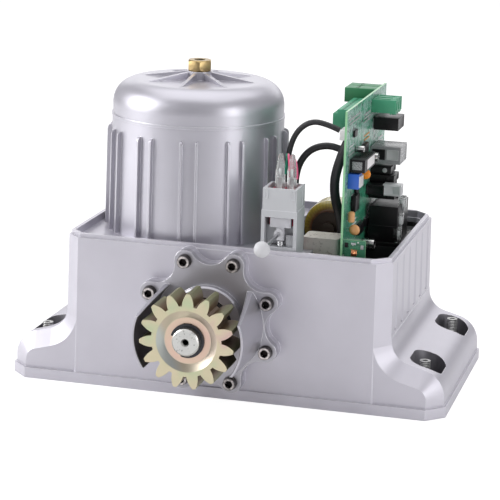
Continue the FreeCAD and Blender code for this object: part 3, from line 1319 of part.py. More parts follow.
def frame_screws():
    body = new_body("frame_screws")
    shanks = new_sketch(body, "shanks", "XY_Plane", "(rim_height + window_foot)")
    heads = new_sketch(body, "heads", "XY_Plane", "(rim_height + window_foot)")
    slots = new_sketch(body, "slots", "XY_Plane", "(rim_height + window_foot) + 1.8")
    for side in ("-", "+"):
        x, y = "pivot_across %s screw_spread" % side, "(%s - screw_inset)" % SWITCH_BACK
        add_circle(shanks, x, y, "frame_screw")
        add_circle(heads, x, y, "frame_screw_head")
        add_rectangle(slots, x + " - 0.4", y + " - 5", x + " + 0.4", y + " + 5")
    pad(body, heads, "1.8")
    pad(body, shanks, "(rim_height + window_foot) - %s" % DECK, back=True)
    pocket(body, slots, "0.8")
    return body


def limit_switch_box():
    """The box on the frame, open at the top, through which the microswitches stand."""
    body = new_body("limit_switch_box")
    outline = new_sketch(body, "outline", "XY_Plane", "(rim_height + frame_top)")
    left, right = "switch_left + box_side", "switch_right - box_side"
    add_rectangle(outline, left, SWITCH_FRONT, right, SWITCH_BACK)
    pad(body, outline, "box_top - frame_top")
    inside = new_sketch(body, "inside", "XY_Plane", "(rim_height + box_top)")
    add_rectangle(
        inside, left + " + box_wall", SWITCH_FRONT + " + box_wall",
        right + " - box_wall", SWITCH_BACK + " - box_wall",
    )
    pocket(body, inside, "box_top - frame_top - box_wall")
    way = new_sketch(body, "switch_way", "XY_Plane", "(rim_height + frame_top) + box_wall")
    add_rectangle(
        way, MICRO_LEFT + " - 0.2", "-micro_front - 0.2", MICRO_RIGHT + " + micro_wide + 0.2",
        "-micro_front + micro_deep + 0.2",
    )
    pocket(body, way, "box_wall")
    return body


def microswitches():
    """Two switches side by side, each with a socket for its plunger."""
    body = new_body("microswitches")
    cases = new_sketch(body, "cases", "XY_Plane", "(rim_height + micro_foot)")
    sockets = new_sketch(body, "sockets", "XZ_Plane", "micro_front")
    middle = "(rim_height + (bar_foot + bar_top)/2)"
    for left in (MICRO_LEFT, MICRO_RIGHT):
        add_rectangle(cases, left, "-micro_front", left + " + micro_wide", "-micro_front + micro_deep")
        x = "(%s + micro_wide/2)" % left
        add_rectangle(
            sockets, x + " - plunger_wide/2 - plunger_gap", middle + " - plunger_high/2 - plunger_gap",
            x + " + plunger_wide/2 + plunger_gap", middle + " + plunger_high/2 + plunger_gap",
        )
    pad(body, cases, "micro_top - micro_foot")
    pocket(body, sockets, "plunger_long + plunger_travel")
    return body


def plunger(label, left):
    block = DOC.addObject("Part::Box", label)
    block.setExpression("Length", term("plunger_wide"))
    block.setExpression("Width", term("plunger_long + plunger_proud - 0.2"))
    block.setExpression("Height", term("plunger_high"))
    block.setExpression("Placement.Base.x", term("%s + micro_wide/2 - plunger_wide/2" % left))
    block.setExpression("Placement.Base.y", term("-micro_front - plunger_proud"))
    block.setExpression("Placement.Base.z", term("rim_height + (bar_foot + bar_top)/2 - plunger_high/2"))
    return block


def lever():
    """The rocking lever: a bar on an upright stem that turns about the pivot pin."""
    body = new_body("lever", "pivot_across", "-pivot_front")
    foot = "((rim_height + window_foot) + spring_high + lever_gap)"
    stem = new_sketch(body, "stem", "XY_Plane", foot)
    add_rectangle(stem, "-stem_wide/2", "-bar_thick/2", "stem_wide/2", "bar_thick/2")
    pad(body, stem, "(rim_height + bar_top) - " + foot)
    bar = new_sketch(body, "bar", "XZ_Plane", "-bar_thick/2")
    add_rectangle(bar, "-bar_wide/2", "(rim_height + bar_foot)", "bar_wide/2", "(rim_height + bar_top)")
    pad(body, bar, "bar_thick")
    socket = new_sketch(body, "rod_socket", "XZ_Plane", "0.5*bar_thick - 0.5")
    add_circle(socket, "0", "(rim_height + bar_foot) - rod_drop", "lever_socket")
    pad(body, socket, "socket_long + 0.5")
    hole = new_sketch(body, "rod_hole", "XZ_Plane", "0.5*bar_thick + socket_long")
    add_circle(hole, "0", "(rim_height + bar_foot) - rod_drop", "rod_radius + 0.05")
    pocket(body, hole, "socket_long - 0.3")
    bore = new_sketch(body, "pivot_bore", "XY_Plane", "(rim_height + bar_top)")
    add_circle(bore, "0", "0", "pivot_radius + pivot_gap")
    pocket(body, bore, "(rim_height + bar_top) - " + foot)
    return body


def lever_spring():
    """The lever's return spring, as the tube that its coils fill, round the pin."""
    body = new_body("lever_spring", "pivot_across", "-pivot_front", "(rim_height + window_foot)")
    ring = new_sketch(body, "ring", "XY_Plane")
    add_circle(ring, "0", "0", "spring_outer")
    add_circle(ring, "0", "0", "pivot_radius + 0.2")
    pad(body, ring, "spring_high")
    return body


def rod_frame():
    """Start, end and direction of the lever's rod."""
    start = Vector(
        value("pivot_across"), value("-pivot_front - bar_thick/2 - 0.5"), value("(rim_height + bar_foot) - rod_drop"),
    )
    bend = Vector(start.x, value("-pivot_front - bar_thick/2 - socket_long - 1"), start.z)
    end = Vector(start.x - value("rod_lean"), value("-rod_tip"), start.z - value("rod_fall"))
    return start, bend, end


def lever_rod():
    """A wire from the socket, bent once just in front of it and then straight to the knob."""
    start, bend, end = rod_frame()
    reach = 2.5
    back = (start - bend).normalize()
    ahead = (end - bend).normalize()
    arrive, leave = bend + back * reach, bend + ahead * reach
    tip = end - ahead * 0.3
    shape = swept_tube(start, [(arrive, bend, leave)], tip, value("rod_radius"))
    rod = DOC.addObject("Part::Feature", "lever_rod")
    rod.Shape = shape
    return rod


def swept_tube(start, bends, end, radius):
    """A round tube along straight runs joined by tangent arcs."""
    edges = []
    here = start
    for arrive, corner, leave in bends:
        edges.append(Part.LineSegment(here, arrive).toShape())
        edges.append(tangent_arc(arrive, corner, leave))
        here = leave
    edges.append(Part.LineSegment(here, end).toShape())
    path = Part.Wire(edges)
    first = edges[0].Vertexes[-1].Point - edges[0].Vertexes[0].Point
    section = Part.Wire(Part.makeCircle(radius, start, first))
    shell = Part.BRepOffsetAPI.MakePipeShell(path)
    shell.add(section)
    shell.build()
    shell.makeSolid()
    solid = shell.shape()
    expected = math.pi * radius**2 * path.Length
    if abs(solid.Volume - expected) > 0.02 * expected:
        raise RuntimeError("a tube's volume is %.1f, not %.1f" % (solid.Volume, expected))
    return solid


def tangent_arc(arrive, corner, leave):
    """The arc that touches both runs where they are cut back from their corner."""
    back = (arrive - corner).normalize()
    ahead = (leave - corner).normalize()
    half = back.getAngle(ahead) / 2
    reach = (arrive - corner).Length
    inward = (back + ahead).normalize()
    radius = reach * math.tan(half)
    centre = corner + inward * (reach / math.cos(half))
    middle = centre - inward * radius
    return Part.Arc(arrive, middle, leave).toShape()


def lever_knob():
    """A drop-shaped knob, narrow towards the lever, on the rod's end."""
    start, bend, end = rod_frame()
    ahead = (end - bend).normalize()
    body = DOC.addObject("PartDesign::Body", "lever_knob")
    body.Placement = FreeCAD.Placement(end, FreeCAD.Rotation(Vector(0, 0, 1), ahead))
    profile = new_sketch(body, "profile", "XZ_Plane")
    add_outline(profile, [
        ("rod_radius + 0.05", "-knob_socket"), ("knob_neck", "-knob_socket"),
        ("knob_radius", "knob_long - knob_socket - knob_radius", None, "knob_radius", True),
        ("0", "knob_long - knob_socket"), ("0", "0"), ("rod_radius + 0.05", "0"),
    ])
    revolve(body, profile, "V_Axis")
    return body


def switch_terminals():
    """Two clear sleeves over the switches' terminals."""
    body = new_body("switch_terminals")
    foot = new_sketch(body, "sleeves", "XY_Plane", "(rim_height + micro_top)")
    for left in (MICRO_LEFT, MICRO_RIGHT):
        x, y = "(%s + micro_wide/2)" % left, "(-micro_front + micro_deep/2)"
        add_rectangle(
            foot, x + " - sleeve_wide/2", y + " - sleeve_deep/2",
            x + " + sleeve_wide/2", y + " + sleeve_deep/2", "1.2",
        )
    pad(body, foot, "sleeve_top - micro_top", taper="-2.5")
    return body


# ----------------------------------------------------------------------------- control unit
BOARD_RIGHT = "(board_across + board_thick)"


def control_liner():
    """The black moulding that lines the tub, with posts for the board, a shelf and a bracket."""
    body = new_body("control_liner")
    shell = new_sketch(body, "shell", "XY_Plane", "tub_floor")
    add_outline(shell, tub_corners("liner_gap"))
    pad(body, shell, "(rim_height + liner_top) - tub_floor")
    inside = new_sketch(body, "inside", "XY_Plane", "(rim_height + liner_top)")
    add_outline(inside, tub_corners("(liner_gap + liner_wall)"))
    pocket(body, inside, "(rim_height + liner_top) - %s" % LINER_FLOOR)
    right = "(%s - 0.6 - liner_gap - 0.5)" % INNER_X
    back = "(%s - 0.6 - liner_gap - inner_corner)" % INNER_Y
    shelf = new_sketch(body, "shelf", "XY_Plane", "(rim_height + liner_shelf) - 3")
    add_rectangle(shelf, "shelf_from", "shelf_front", right, back)
    pad(body, shelf, "3")
    legs = new_sketch(body, "shelf_legs", "XY_Plane", "tub_floor + 1")
    for y in ("shelf_front", "shelf_front + 40"):
        add_rectangle(legs, "shelf_from", y, right, y + " + 2.5")
    pad(body, legs, "(rim_height + liner_shelf) - 2.5 - tub_floor")
    posts = new_sketch(body, "board_posts", "XY_Plane", "tub_floor + 1")
    post_left = "board_across - rail_gap - rail_wall"
    post_right = "%s + rail_gap + rail_wall" % BOARD_RIGHT
    for near in ("board_near + 2", "board_far - 2 - rail_long"):
        add_rectangle(posts, post_left, near, post_right, near + " + rail_long")
    pad(body, posts, "(rim_height + board_foot) + rail_hold - tub_floor - 1")
    slot = new_sketch(body, "board_slot", "XZ_Plane", "-board_far - 5")
    add_rectangle(
        slot, "board_across - rail_gap", "(rim_height + board_foot) - 0.1", "%s + rail_gap" % BOARD_RIGHT,
        "(rim_height + board_foot) + rail_hold + 5",
    )
    pocket(body, slot, "board_far - board_near + 10", back=True)
    bracket = new_sketch(body, "toroid_bracket", "XZ_Plane", "-toroid_front - toroid_thick - 0.1")
    add_rectangle(
        bracket, "toroid_across - bracket_wide/2", "tub_floor + 1",
        "toroid_across + bracket_wide/2", "(rim_height + toroid_height) + bracket_wide/2 - 4",
    )
    pad(body, bracket, "bracket_thick", back=True)
    hole = new_sketch(body, "bolt_hole", "XZ_Plane", "-toroid_front - toroid_thick - 0.1")
    add_circle(hole, "toroid_across", "(rim_height + toroid_height)", "bolt_radius + 0.2")
    pocket(body, hole, "bracket_thick")
    cradle = new_sketch(body, "toroid_seat", "XY_Plane", "tub_floor + 1")
    add_rectangle(
        cradle, "toroid_across - 8", "toroid_front + 5", "toroid_across + 8", "toroid_front + toroid_thick",
    )
    pad(body, cradle, "(rim_height + toroid_height) - toroid_radius - tub_floor - 1.3")
    return body


def toroid_transformer():
    body = new_body("toroid_transformer", "toroid_across", "toroid_front", "(rim_height + toroid_height)")
    profile = new_sketch(body, "profile", "YZ_Plane")
    add_rectangle(profile, "0", "toroid_bore", "toroid_thick", "toroid_radius", "toroid_round")
    revolve(body, profile, "H_Axis")
    return body


def toroid_fixing():
    """Bolt with its dished washer, and the nut behind the bracket, holding the transformer."""
    body = new_body("toroid_fixing", "toroid_across", "toroid_front", "(rim_height + toroid_height)")
    profile = new_sketch(body, "profile", "YZ_Plane")
    behind = "(toroid_thick + 0.1 + bracket_thick)"
    add_outline(profile, [
        ("-washer_thick - 4", "0"), ("-washer_thick - 4", "1.8*bolt_radius"),
        ("-washer_thick", "1.8*bolt_radius"),
        ("-washer_thick", "washer_radius"), ("0", "washer_radius"), ("0", "bolt_radius"),
        (behind + " + 4.5", "bolt_radius"), (behind + " + 4.5", "0"),
    ])
    revolve(body, profile, "H_Axis")
    hexagon = new_sketch(body, "hexagon", "XZ_Plane", "-" + behind)
    add_polygon(hexagon, "0", "0", "5")
    add_circle(hexagon, "0", "0", "bolt_radius + 0.05")
    pad(body, hexagon, "3.5", back=True)
    return body


def run_capacitor():
    body = new_body("run_capacitor")
    case = new_sketch(body, "case", "XY_Plane", LINER_FLOOR)
    add_rectangle(
        case, "capacitor_left", "capacitor_front", "capacitor_right",
        "capacitor_front + capacitor_deep", "capacitor_round",
    )
    pad(body, case, "(rim_height + capacitor_top) - %s" % LINER_FLOOR)
    return body


def control_board():
    board = DOC.addObject("Part::Box", "control_board")
    board.setExpression("Length", term("board_thick"))
    board.setExpression("Width", term("board_far - board_near"))
    board.setExpression("Height", term("board_top - board_foot"))
    board.setExpression("Placement.Base.x", term("board_across"))
    board.setExpression("Placement.Base.y", term("board_near"))
    board.setExpression("Placement.Base.z", term("rim_height + board_foot"))
    return board


def board_component(name, side):
    """A block soldered to the board's right or left face."""
    block = DOC.addObject("Part::Box", name)
    block.setExpression("Length", term(name + "_deep"))
    block.setExpression("Width", term(name + "_long"))
    block.setExpression("Height", term(name + "_tall"))
    left = BOARD_RIGHT if side > 0 else "board_across - %s_deep" % name
    block.setExpression("Placement.Base.x", term(left))
    block.setExpression("Placement.Base.y", term(name + "_y"))
    block.setExpression("Placement.Base.z", term("rim_height + %s_z" % name))
    return block


def disc_capacitors():
    body = new_body("disc_capacitors")
    for name, y, z in (
        ("upper", "disc_y", "(rim_height + disc_z)"), ("lower", "small_disc_y", "(rim_height + small_disc_z)"),
    ):
        disc = new_sketch(body, name, "XZ_Plane", "-(%s)" % y)
        add_circle(disc, "%s + disc_deep" % BOARD_RIGHT, z, "disc_radius")
        pad(body, disc, "disc_thick", middle=True)
        leg = new_sketch(body, name + "_legs", "XZ_Plane", "-(%s)" % y)
        add_rectangle(leg, BOARD_RIGHT, z + " - 1", "%s + disc_deep" % BOARD_RIGHT, z + " + 1")
        pad(body, leg, "0.8", middle=True)
    return body


def daughter_board():
    board = DOC.addObject("Part::Box", "daughter_board")
    board.setExpression("Length", term("daughter_wide"))
    board.setExpression("Width", term("board_thick"))
    board.setExpression("Height", term("daughter_top - daughter_foot"))
    board.setExpression("Placement.Base.x", term(BOARD_RIGHT))
    board.setExpression("Placement.Base.y", term("-daughter_front"))
    board.setExpression("Placement.Base.z", term("rim_height + daughter_foot"))
    return board


def power_module():
    """A potted power unit on the liner's shelf."""
    body = new_body("power_module")
    left, front = "shelf_from + 1", "shelf_front + 1"
    flange = new_sketch(body, "flange", "XY_Plane", "(rim_height + liner_shelf)")
    add_rectangle(flange, left, front, MODULE_RIGHT + " + module_margin", "module_back + module_margin")
    pad(body, flange, "module_flange")
    case = new_sketch(body, "case", "XY_Plane", "(rim_height + liner_shelf) + module_flange")
    add_rectangle(case, left, front + " + module_margin", MODULE_RIGHT, "module_back")
    pad(body, case, "module_top - liner_shelf - module_flange")
    return body


# ----------------------------------------------------------------------------- leads
# Points are along X, along Y and above the rim; a lead that ends on the liner names that height.
LEAD_ROUTES = {
    "motor_lead": ("thin_lead", [
        (34, -36, LINER_FLOOR + " + 0.4"), (32.5, -35, -25), (34, -34, 5), (31.5, -33, 33), (31.5, -33, 59),
        (37, -34, 78), (49, -35, 88), (63, -36, 86), (71.2, -36, 82.5),
    ]),
    "capacitor_lead": ("plug_lead", [
        (38, -21, LINER_FLOOR + " + 0.5"), (36, -22, -25), (37.5, -23, 2), (36, -24, 27), (36.5, -24, 49),
        (45, -23, 63.5), (59, -22, 68.5), (72, -22, 65), (82.2, -22, 63.5),
    ]),
    "supply_lead": ("thick_lead", [
        (77.5, -36, 74.5), (69, -35, 54), (67.5, -31, 32), (72.5, -23.3, 12), (74, -22.3, -9),
        (72.5, -21.5, -33), (74, -22, LINER_FLOOR + " + 0.6"),
    ]),
}


def lead(label, radius_name, points):
    """A lead along its route, each turn an arc as large as its two runs allow."""
    radius = value(radius_name)
    rim = value("rim_height")
    route = [Vector(x, y, value(z) if isinstance(z, str) else rim + z) for x, y, z in points]
    bends = []
    for before, corner, after in zip(route, route[1:], route[2:]):
        reach = 0.45 * min((corner - before).Length, (after - corner).Length)
        back = (before - corner).normalize()
        ahead = (after - corner).normalize()
        bends.append((corner + back * reach, corner, corner + ahead * reach))
    feature = DOC.addObject("Part::Feature", label)
    feature.Shape = swept_tube(route[0], bends, route[-1], radius)
    return feature


# ----------------------------------------------------------------------------- the whole motor
SUB_PARTS = [
    base_housing(), levelling_screws(), cover_post(),
    gear_cover(), cover_screws(), oil_seal(),
    bearing("output_bearing_front", "big_bore", "big_outer", "big_wide", "H_Axis",
            "gear_across", "-(%s)" % FRONT_SEAT, "gear_height"),
    bearing("output_bearing_rear", "big_bore", "big_outer", "big_wide", "H_Axis",
            "gear_across", "rear_seat", "gear_height"),
    bearing("worm_bearing_upper", "worm_journal", "worm_bore", "worm_bearing_wide", "V_Axis",
            MOTOR_X, "motor_along", UPPER_SEAT),
    bearing("worm_bearing_lower", "foot_journal", "foot_outer", "foot_wide", "V_Axis",
            MOTOR_X, "motor_along", "foot_seat"),
    bearing("motor_bearing_top", "worm_journal", "worm_bore", "worm_bearing_wide", "V_Axis",
            MOTOR_X, "motor_along", "(rim_height + end_journal_foot)"),
    output_shaft(), shaft_keys(), pinion(), pinion_collar(), circlip(), worm_wheel(),
    worm_shaft(), rotor_core(),
    motor_can(), end_cap(), cap_nut(), stator_core(), stator_windings(),
    limit_switch_frame(), pivot_pin(), frame_screws(), limit_switch_box(), microswitches(),
    switch_terminals(), lever_spring(),
    plunger("plunger_left", MICRO_LEFT), plunger("plunger_right", MICRO_RIGHT),
    lever(), lever_rod(), lever_knob(),
    control_liner(), toroid_transformer(), toroid_fixing(), run_capacitor(),
    control_board(), daughter_board(), disc_capacitors(), power_module(),
]
SUB_PARTS += [board_component(item[0], item[1]) for item in COMPONENTS[:-2]]
SUB_PARTS.append(grouped("rear_terminals", [board_component(item[0], item[1]) for item in COMPONENTS[-2:]]))
SUB_PARTS += [lead(label, *route) for label, route in LEAD_ROUTES.items()]
DOC.recompute()

for item in DOC.Objects:
    if "Invalid" in item.State or "Error" in item.State:
        raise RuntimeError(item.Name + " failed")
for part in SUB_PARTS:
    if part.Shape.isNull() or not part.Shape.isValid():
        raise RuntimeError(part.Label + " has no valid shape")
os.makedirs("parts", exist_ok=True)
for part in SUB_PARTS:
    part.Shape.exportStep(os.path.join("parts", part.Label + ".step"))
print(len(SUB_PARTS), "sub-parts written")
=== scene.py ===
import math
from collections import namedtuple

import bpy
from bpy.props import FloatProperty, FloatVectorProperty, IntProperty, PointerProperty
from mathutils import Matrix, Vector


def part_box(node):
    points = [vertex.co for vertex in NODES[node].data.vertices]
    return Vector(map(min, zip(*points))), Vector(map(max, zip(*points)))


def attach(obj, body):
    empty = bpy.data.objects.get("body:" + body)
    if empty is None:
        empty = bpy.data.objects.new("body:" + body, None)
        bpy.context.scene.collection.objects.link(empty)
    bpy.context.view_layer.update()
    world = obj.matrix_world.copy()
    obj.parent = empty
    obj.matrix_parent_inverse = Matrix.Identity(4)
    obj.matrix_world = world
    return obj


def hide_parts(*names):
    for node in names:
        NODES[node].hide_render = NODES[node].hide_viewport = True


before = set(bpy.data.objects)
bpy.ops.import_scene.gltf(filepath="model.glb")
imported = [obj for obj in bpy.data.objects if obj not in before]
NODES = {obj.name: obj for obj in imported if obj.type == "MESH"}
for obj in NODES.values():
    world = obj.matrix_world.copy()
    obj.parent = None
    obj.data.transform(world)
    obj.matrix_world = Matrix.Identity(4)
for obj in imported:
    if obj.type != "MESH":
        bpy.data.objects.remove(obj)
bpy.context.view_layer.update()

bl_info = {
    "name": "Sliding gate motor",
    "version": (1, 0, 0),
    "blender": (4, 5, 0),
    "location": "View3D > Sidebar > Gate motor",
    "description": "Finishes and fine pieces for a sliding gate motor",
    "category": "Object",
}

MM = 0.001
X, Y, Z = Vector((1, 0, 0)), Vector((0, 1, 0)), Vector((0, 0, 1))
BODY = "housing"
SHAFT = Vector((-7.5, -143.9, 60.9)) * MM
COVER_FACE = -102.3 * MM
COVER_SCREWS = 8
SCREW_CIRCLE = 48 * MM
GUARD_INSIDE = 39 * MM
# Foot pockets: their middles' distances from the base's, and half the straight runs between round ends.
POCKET_ACROSS, POCKET_ALONG = 148 * MM, 52.5 * MM
POCKET_RUN_ACROSS, POCKET_RUN_ALONG = 1 * MM, 8 * MM
POCKET_ROUND = 11.04 * MM
HUB, DISH, TOOTH_ROOT = 17 * MM, 22.4 * MM, 32 * MM
NUT_TURN = math.radians(16)
PRINT_FOOT = 150 * MM
# Colour of the painted highlights along the castings' edges.
EDGE_HIGHLIGHT = (0.95, 0.95, 0.98)
# Colour of the painted shade, with some grime, on the gear cover.
SHADE_AND_GRIME = (0.035, 0.028, 0.026)


# ------------------------------------------------------------------------------ sizes and colours
def length(name, default, description):
    return FloatProperty(name=name, description=description, default=default, unit="LENGTH")


def colour(name, default, description):
    return FloatVectorProperty(
        name=name, description=description, default=default, size=3, subtype="COLOR", min=0, max=1,
    )


class GateMotorSizes(bpy.types.PropertyGroup):
    nut_chamfer: length("Nut chamfer", 0.9 * MM, "Chamfer round the corners of the cap nut")
    spring_wire: length("Spring wire", 0.45 * MM, "Radius of the lever spring's wire")
    spring_turns: IntProperty(name="Spring turns", description="Coils of the lever spring", default=5)
    switch_wire: length("Switch wire", 0.75 * MM, "Radius of the limit switches' wires")
    edge_round: length("Edge round", 0.45 * MM, "Softened edges of the castings, seen in their shine")
    plastic_round: length("Plastic round", 0.35 * MM, "Rounded edges of small moulded cases")
    thread_pitch: length("Thread pitch", 1.25 * MM, "Pitch of the levelling screws' threads")
    tape_bands: IntProperty(name="Tape bands", description="Wraps of tape round the toroid", default=44)
    lens: FloatProperty(name="Lens", description="Camera's focal length in mm", default=144.9)
    camera_far: length("Camera distance", 1.46, "From the point looked at")


class GateMotorColours(bpy.types.PropertyGroup):
    paint: colour("Body paint", (0.56, 0.545, 0.60), "Silver-grey paint of the castings")
    # The gear cover's paint is the body's silver-grey, darkened as painted shade.
    cover_paint: colour("Cover paint", (0.45, 0.44, 0.48), "Darker grey paint of the gear cover")
    can_paint: colour("Motor paint", (0.52, 0.51, 0.56), "Silver-grey paint of motor can and cap")
    gold: colour("Yellow zinc", (0.60, 0.55, 0.38), "Passivated pinion")
    brass: colour("Brass", (0.42, 0.31, 0.15), "Cap nut")
    tape: colour("Tape", (0.66, 0.50, 0.06), "Tape round the toroid")
    board: colour("Circuit board", (0.022, 0.21, 0.115), "Solder mask of the control board")
    terminal: colour("Terminals", (0.035, 0.20, 0.085), "Terminal blocks")
    plug: colour("Plug-in strip", (0.06, 0.31, 0.175), "Plug-in terminal strip")
    switch: colour("Switch plastic", (0.48, 0.49, 0.51), "Limit switch housing")
    red: colour("Switch red", (0.50, 0.03, 0.07), "Microswitch cases")


def sizes():
    return bpy.context.scene.gate_motor_sizes


def colours():
    return bpy.context.scene.gate_motor_colours


# ------------------------------------------------------------------------------ shader arithmetic
class Value:
    """A shader socket that takes part in Python arithmetic."""

    def __init__(self, finish, socket):
        self.finish = finish
        self.socket = socket

    def __add__(self, other):
        return self.finish.math("ADD", self, other)

    def __sub__(self, other):
        return self.finish.math("SUBTRACT", self, other)

    def __rsub__(self, other):
        return self.finish.math("SUBTRACT", other, self)

    def __mul__(self, other):
        return self.finish.math("MULTIPLY", self, other)

    def __truediv__(self, other):
        return self.finish.math("DIVIDE", self, other)

    __radd__ = __add__
    __rmul__ = __mul__


class Finish:
    """A material built from nodes, with one Principled shader."""

    def __init__(self, name, base=(0.5, 0.5, 0.5), metallic=0.0, roughness=0.5, **sockets):
        self.material = bpy.data.materials.new(name)
        self.material.use_nodes = True
        self.tree = self.material.node_tree
        self.tree.nodes.clear()
        self.output = self.tree.nodes.new("ShaderNodeOutputMaterial")
        self.shader = self.tree.nodes.new("ShaderNodeBsdfPrincipled")
        self.tree.links.new(self.shader.outputs[0], self.output.inputs["Surface"])
        self.set("Base Color", (*base, 1) if len(base) == 3 else base)
        self.set("Metallic", metallic)
        self.set("Roughness", roughness)
        for socket, value in sockets.items():
            self.set(socket.replace("_", " ").title().replace("Ior", "IOR"), value)

    def feed(self, socket, value):
        if isinstance(value, Value):
            self.tree.links.new(value.socket, socket)
        else:
            socket.default_value = value

    def set(self, name, value):
        self.feed(self.shader.inputs[name], value)

    def node(self, kind, settings=None, **values):
        """A node; its settings come first, then the values or links of its sockets."""
        node = self.tree.nodes.new("ShaderNode" + kind)
        for name, value in (settings or {}).items():
            if name == "stops":
                while len(node.color_ramp.elements) < len(value):
                    node.color_ramp.elements.new(0.5)
                for element, (place, shade) in zip(node.color_ramp.elements, value):
                    element.position = place
                    element.color = (*shade, 1)
            else:
                setattr(node, name, value)
        for name, value in values.items():
            key = int(name[1:]) if name[1:].isdigit() and name[0] == "i" else name.replace("_", " ")
            self.feed(node.inputs[key], value)
        return node

    def out(self, node, name=0):
        return Value(self, node.outputs[name])

    def math(self, operation, first, second=0.0):
        return self.out(self.node("Math", {"operation": operation}, i0=first, i1=second))

    def place(self, centre=(0, 0, 0), turn=(0, 0, 0)):
        """Object coordinates, centred and turned for a piece."""
        coordinates = self.out(self.node("TexCoord"), "Object")
        return self.out(self.node(
            "Mapping", {"vector_type": "TEXTURE"}, Vector=coordinates, Location=centre, Rotation=turn,
        ))

    def split(self, vector):
        node = self.node("SeparateXYZ", Vector=vector)
        return [self.out(node, axis) for axis in ("X", "Y", "Z")]

    def noise(self, vector, scale, detail=2.0, rough=0.5):
        node = self.node("TexNoise", None, Vector=vector, Scale=scale, Detail=detail, Roughness=rough)
        return self.out(node, "Fac")

    def spots(self, vector, scale):
        return self.out(self.node("TexVoronoi", None, Vector=vector, Scale=scale))

    def reach(self, first, second):
        """The length of a vector with these two parts."""
        return self.math("SQRT", first * first + second * second)

    def edge(self, width):
        """1 where the surface turns within a width, 0 on its flats."""
        rounded = self.out(self.node("Bevel", {"samples": 6}, Radius=width))
        plain = self.out(self.node("NewGeometry"), "Normal")
        turn = self.node("VectorMath", {"operation": "DOT_PRODUCT"}, i0=rounded, i1=plain)
        return self.band(self.out(turn, "Value"), 0.985, 0.86)

    def ramp(self, value, *stops):
        return self.out(self.node("ValToRGB", {"stops": stops}, Fac=value))

    def band(self, value, low, high):
        """0 below low, 1 above high, and a straight slope between."""
        node = self.node(
            "MapRange", None, Value=value, From_Min=low, From_Max=high, To_Min=0.0, To_Max=1.0
        )
        return self.out(node)

    def mix(self, factor, first, second):
        """A colour between two, each a socket or three numbers."""
        ends = [end if isinstance(end, Value) else (*end, 1) for end in (first, second)]
        node = self.node("Mix", {"data_type": "RGBA"}, i0=factor, i6=ends[0], i7=ends[1])
        return self.out(node, 2)

    def bump(self, height, distance, strength=1.0, soften=0.0):
        values = {"Height": height, "Distance": distance, "Strength": strength}
        if soften:
            values["Normal"] = self.out(self.node("Bevel", {"samples": 6}, Radius=soften))
        self.set("Normal", self.out(self.node("Bump", None, **values)))


# ------------------------------------------------------------------------------ finishes
def scaled(base, factor):
    """A colour made lighter or darker."""
    return [min(1, c * factor) for c in base]


def cast_paint(name, base, soften, metallic=0.62, roughness=0.40, shade=None):
    """Silver-grey paint with fine flakes over a lightly grained casting, with painted highlights along its
    edges.
    """
    finish = Finish(name, base, metallic, roughness, coat_weight=0.12, coat_roughness=0.35)
    place = finish.place()
    cloud = finish.noise(place, 22, 3)
    flake = finish.noise(place, 5200, 1)
    speck = finish.band(cloud * 0.7 + flake * 0.3, 0.30, 0.70)
    colour = finish.mix(speck, scaled(base, 0.93), scaled(base, 1.05))
    if shade:
        colour = shade(finish, colour)
    # Painted highlights: the colour turns pale wherever the bevelled normal leaves the surface's own.
    edge = finish.edge(soften)
    finish.set("Base Color", finish.mix(edge * 0.8, colour, EDGE_HIGHLIGHT))
    finish.set("Roughness", roughness - 0.05 + cloud * 0.08 + flake * 0.05 - edge * 0.08)
    grain = finish.noise(place, 900, 2) * 0.5 + finish.noise(place, 260, 1) * 0.5
    finish.bump(grain, 0.00006, 0.45, soften)
    return finish.material


def screw_reach(finish):
    """Distances from the nearest cover screw's axis and from the output shaft's."""
    across, _, up = finish.split(finish.place(SHAFT))
    radius = finish.reach(across, up)
    half = math.pi / COVER_SCREWS
    turn = half - finish.math("PINGPONG", finish.math("ARCTAN2", up, across), half)
    aside = radius * finish.math("SINE", turn)
    beyond = radius * finish.math("COSINE", turn) - SCREW_CIRCLE
    return finish.reach(aside, beyond), radius


def cover_shade(finish, colour):
    """Painted shade, with some grime, round the screw heads, and painted shade inside the pinion guard."""
    reach, radius = screw_reach(finish)
    _, along, _ = finish.split(finish.place())
    # Painted shade, with some grime, round each screw head's seat.
    seat = (1 - finish.band(reach, 4.9 * MM, 5.7 * MM)) * 0.75
    # Painted shade on the pinion guard's inside wall, behind the cover's face.
    inner = finish.band(radius, GUARD_INSIDE - 0.5 * MM, GUARD_INSIDE - 0.3 * MM)
    inner = inner * (1 - finish.band(radius, GUARD_INSIDE + 0.3 * MM, GUARD_INSIDE + 0.5 * MM))
    guard = inner * (1 - finish.band(along, COVER_FACE - 1.5 * MM, COVER_FACE - 0.5 * MM)) * 0.9
    return finish.mix(finish.math("MAXIMUM", seat, guard), colour, SHADE_AND_GRIME)


def housing_shade(finish, colour):
    """Painted shade inside the foot pockets."""
    across, along, _ = finish.split(finish.place())
    across = finish.math("ABSOLUTE", finish.math("ABSOLUTE", across) - POCKET_ACROSS)
    along = finish.math("ABSOLUTE", finish.math("ABSOLUTE", along) - POCKET_ALONG)
    across = finish.math("MAXIMUM", across - POCKET_RUN_ACROSS, 0.0)
    along = finish.math("MAXIMUM", along - POCKET_RUN_ALONG, 0.0)
    reach = finish.reach(across, along)
    # Painted shade: the pockets darken inside their rounded outline.
    inside = 1 - finish.band(reach, POCKET_ROUND - 0.02 * MM, POCKET_ROUND + 0.02 * MM)
    return finish.mix(inside * 0.62, colour, (0.05, 0.048, 0.052))


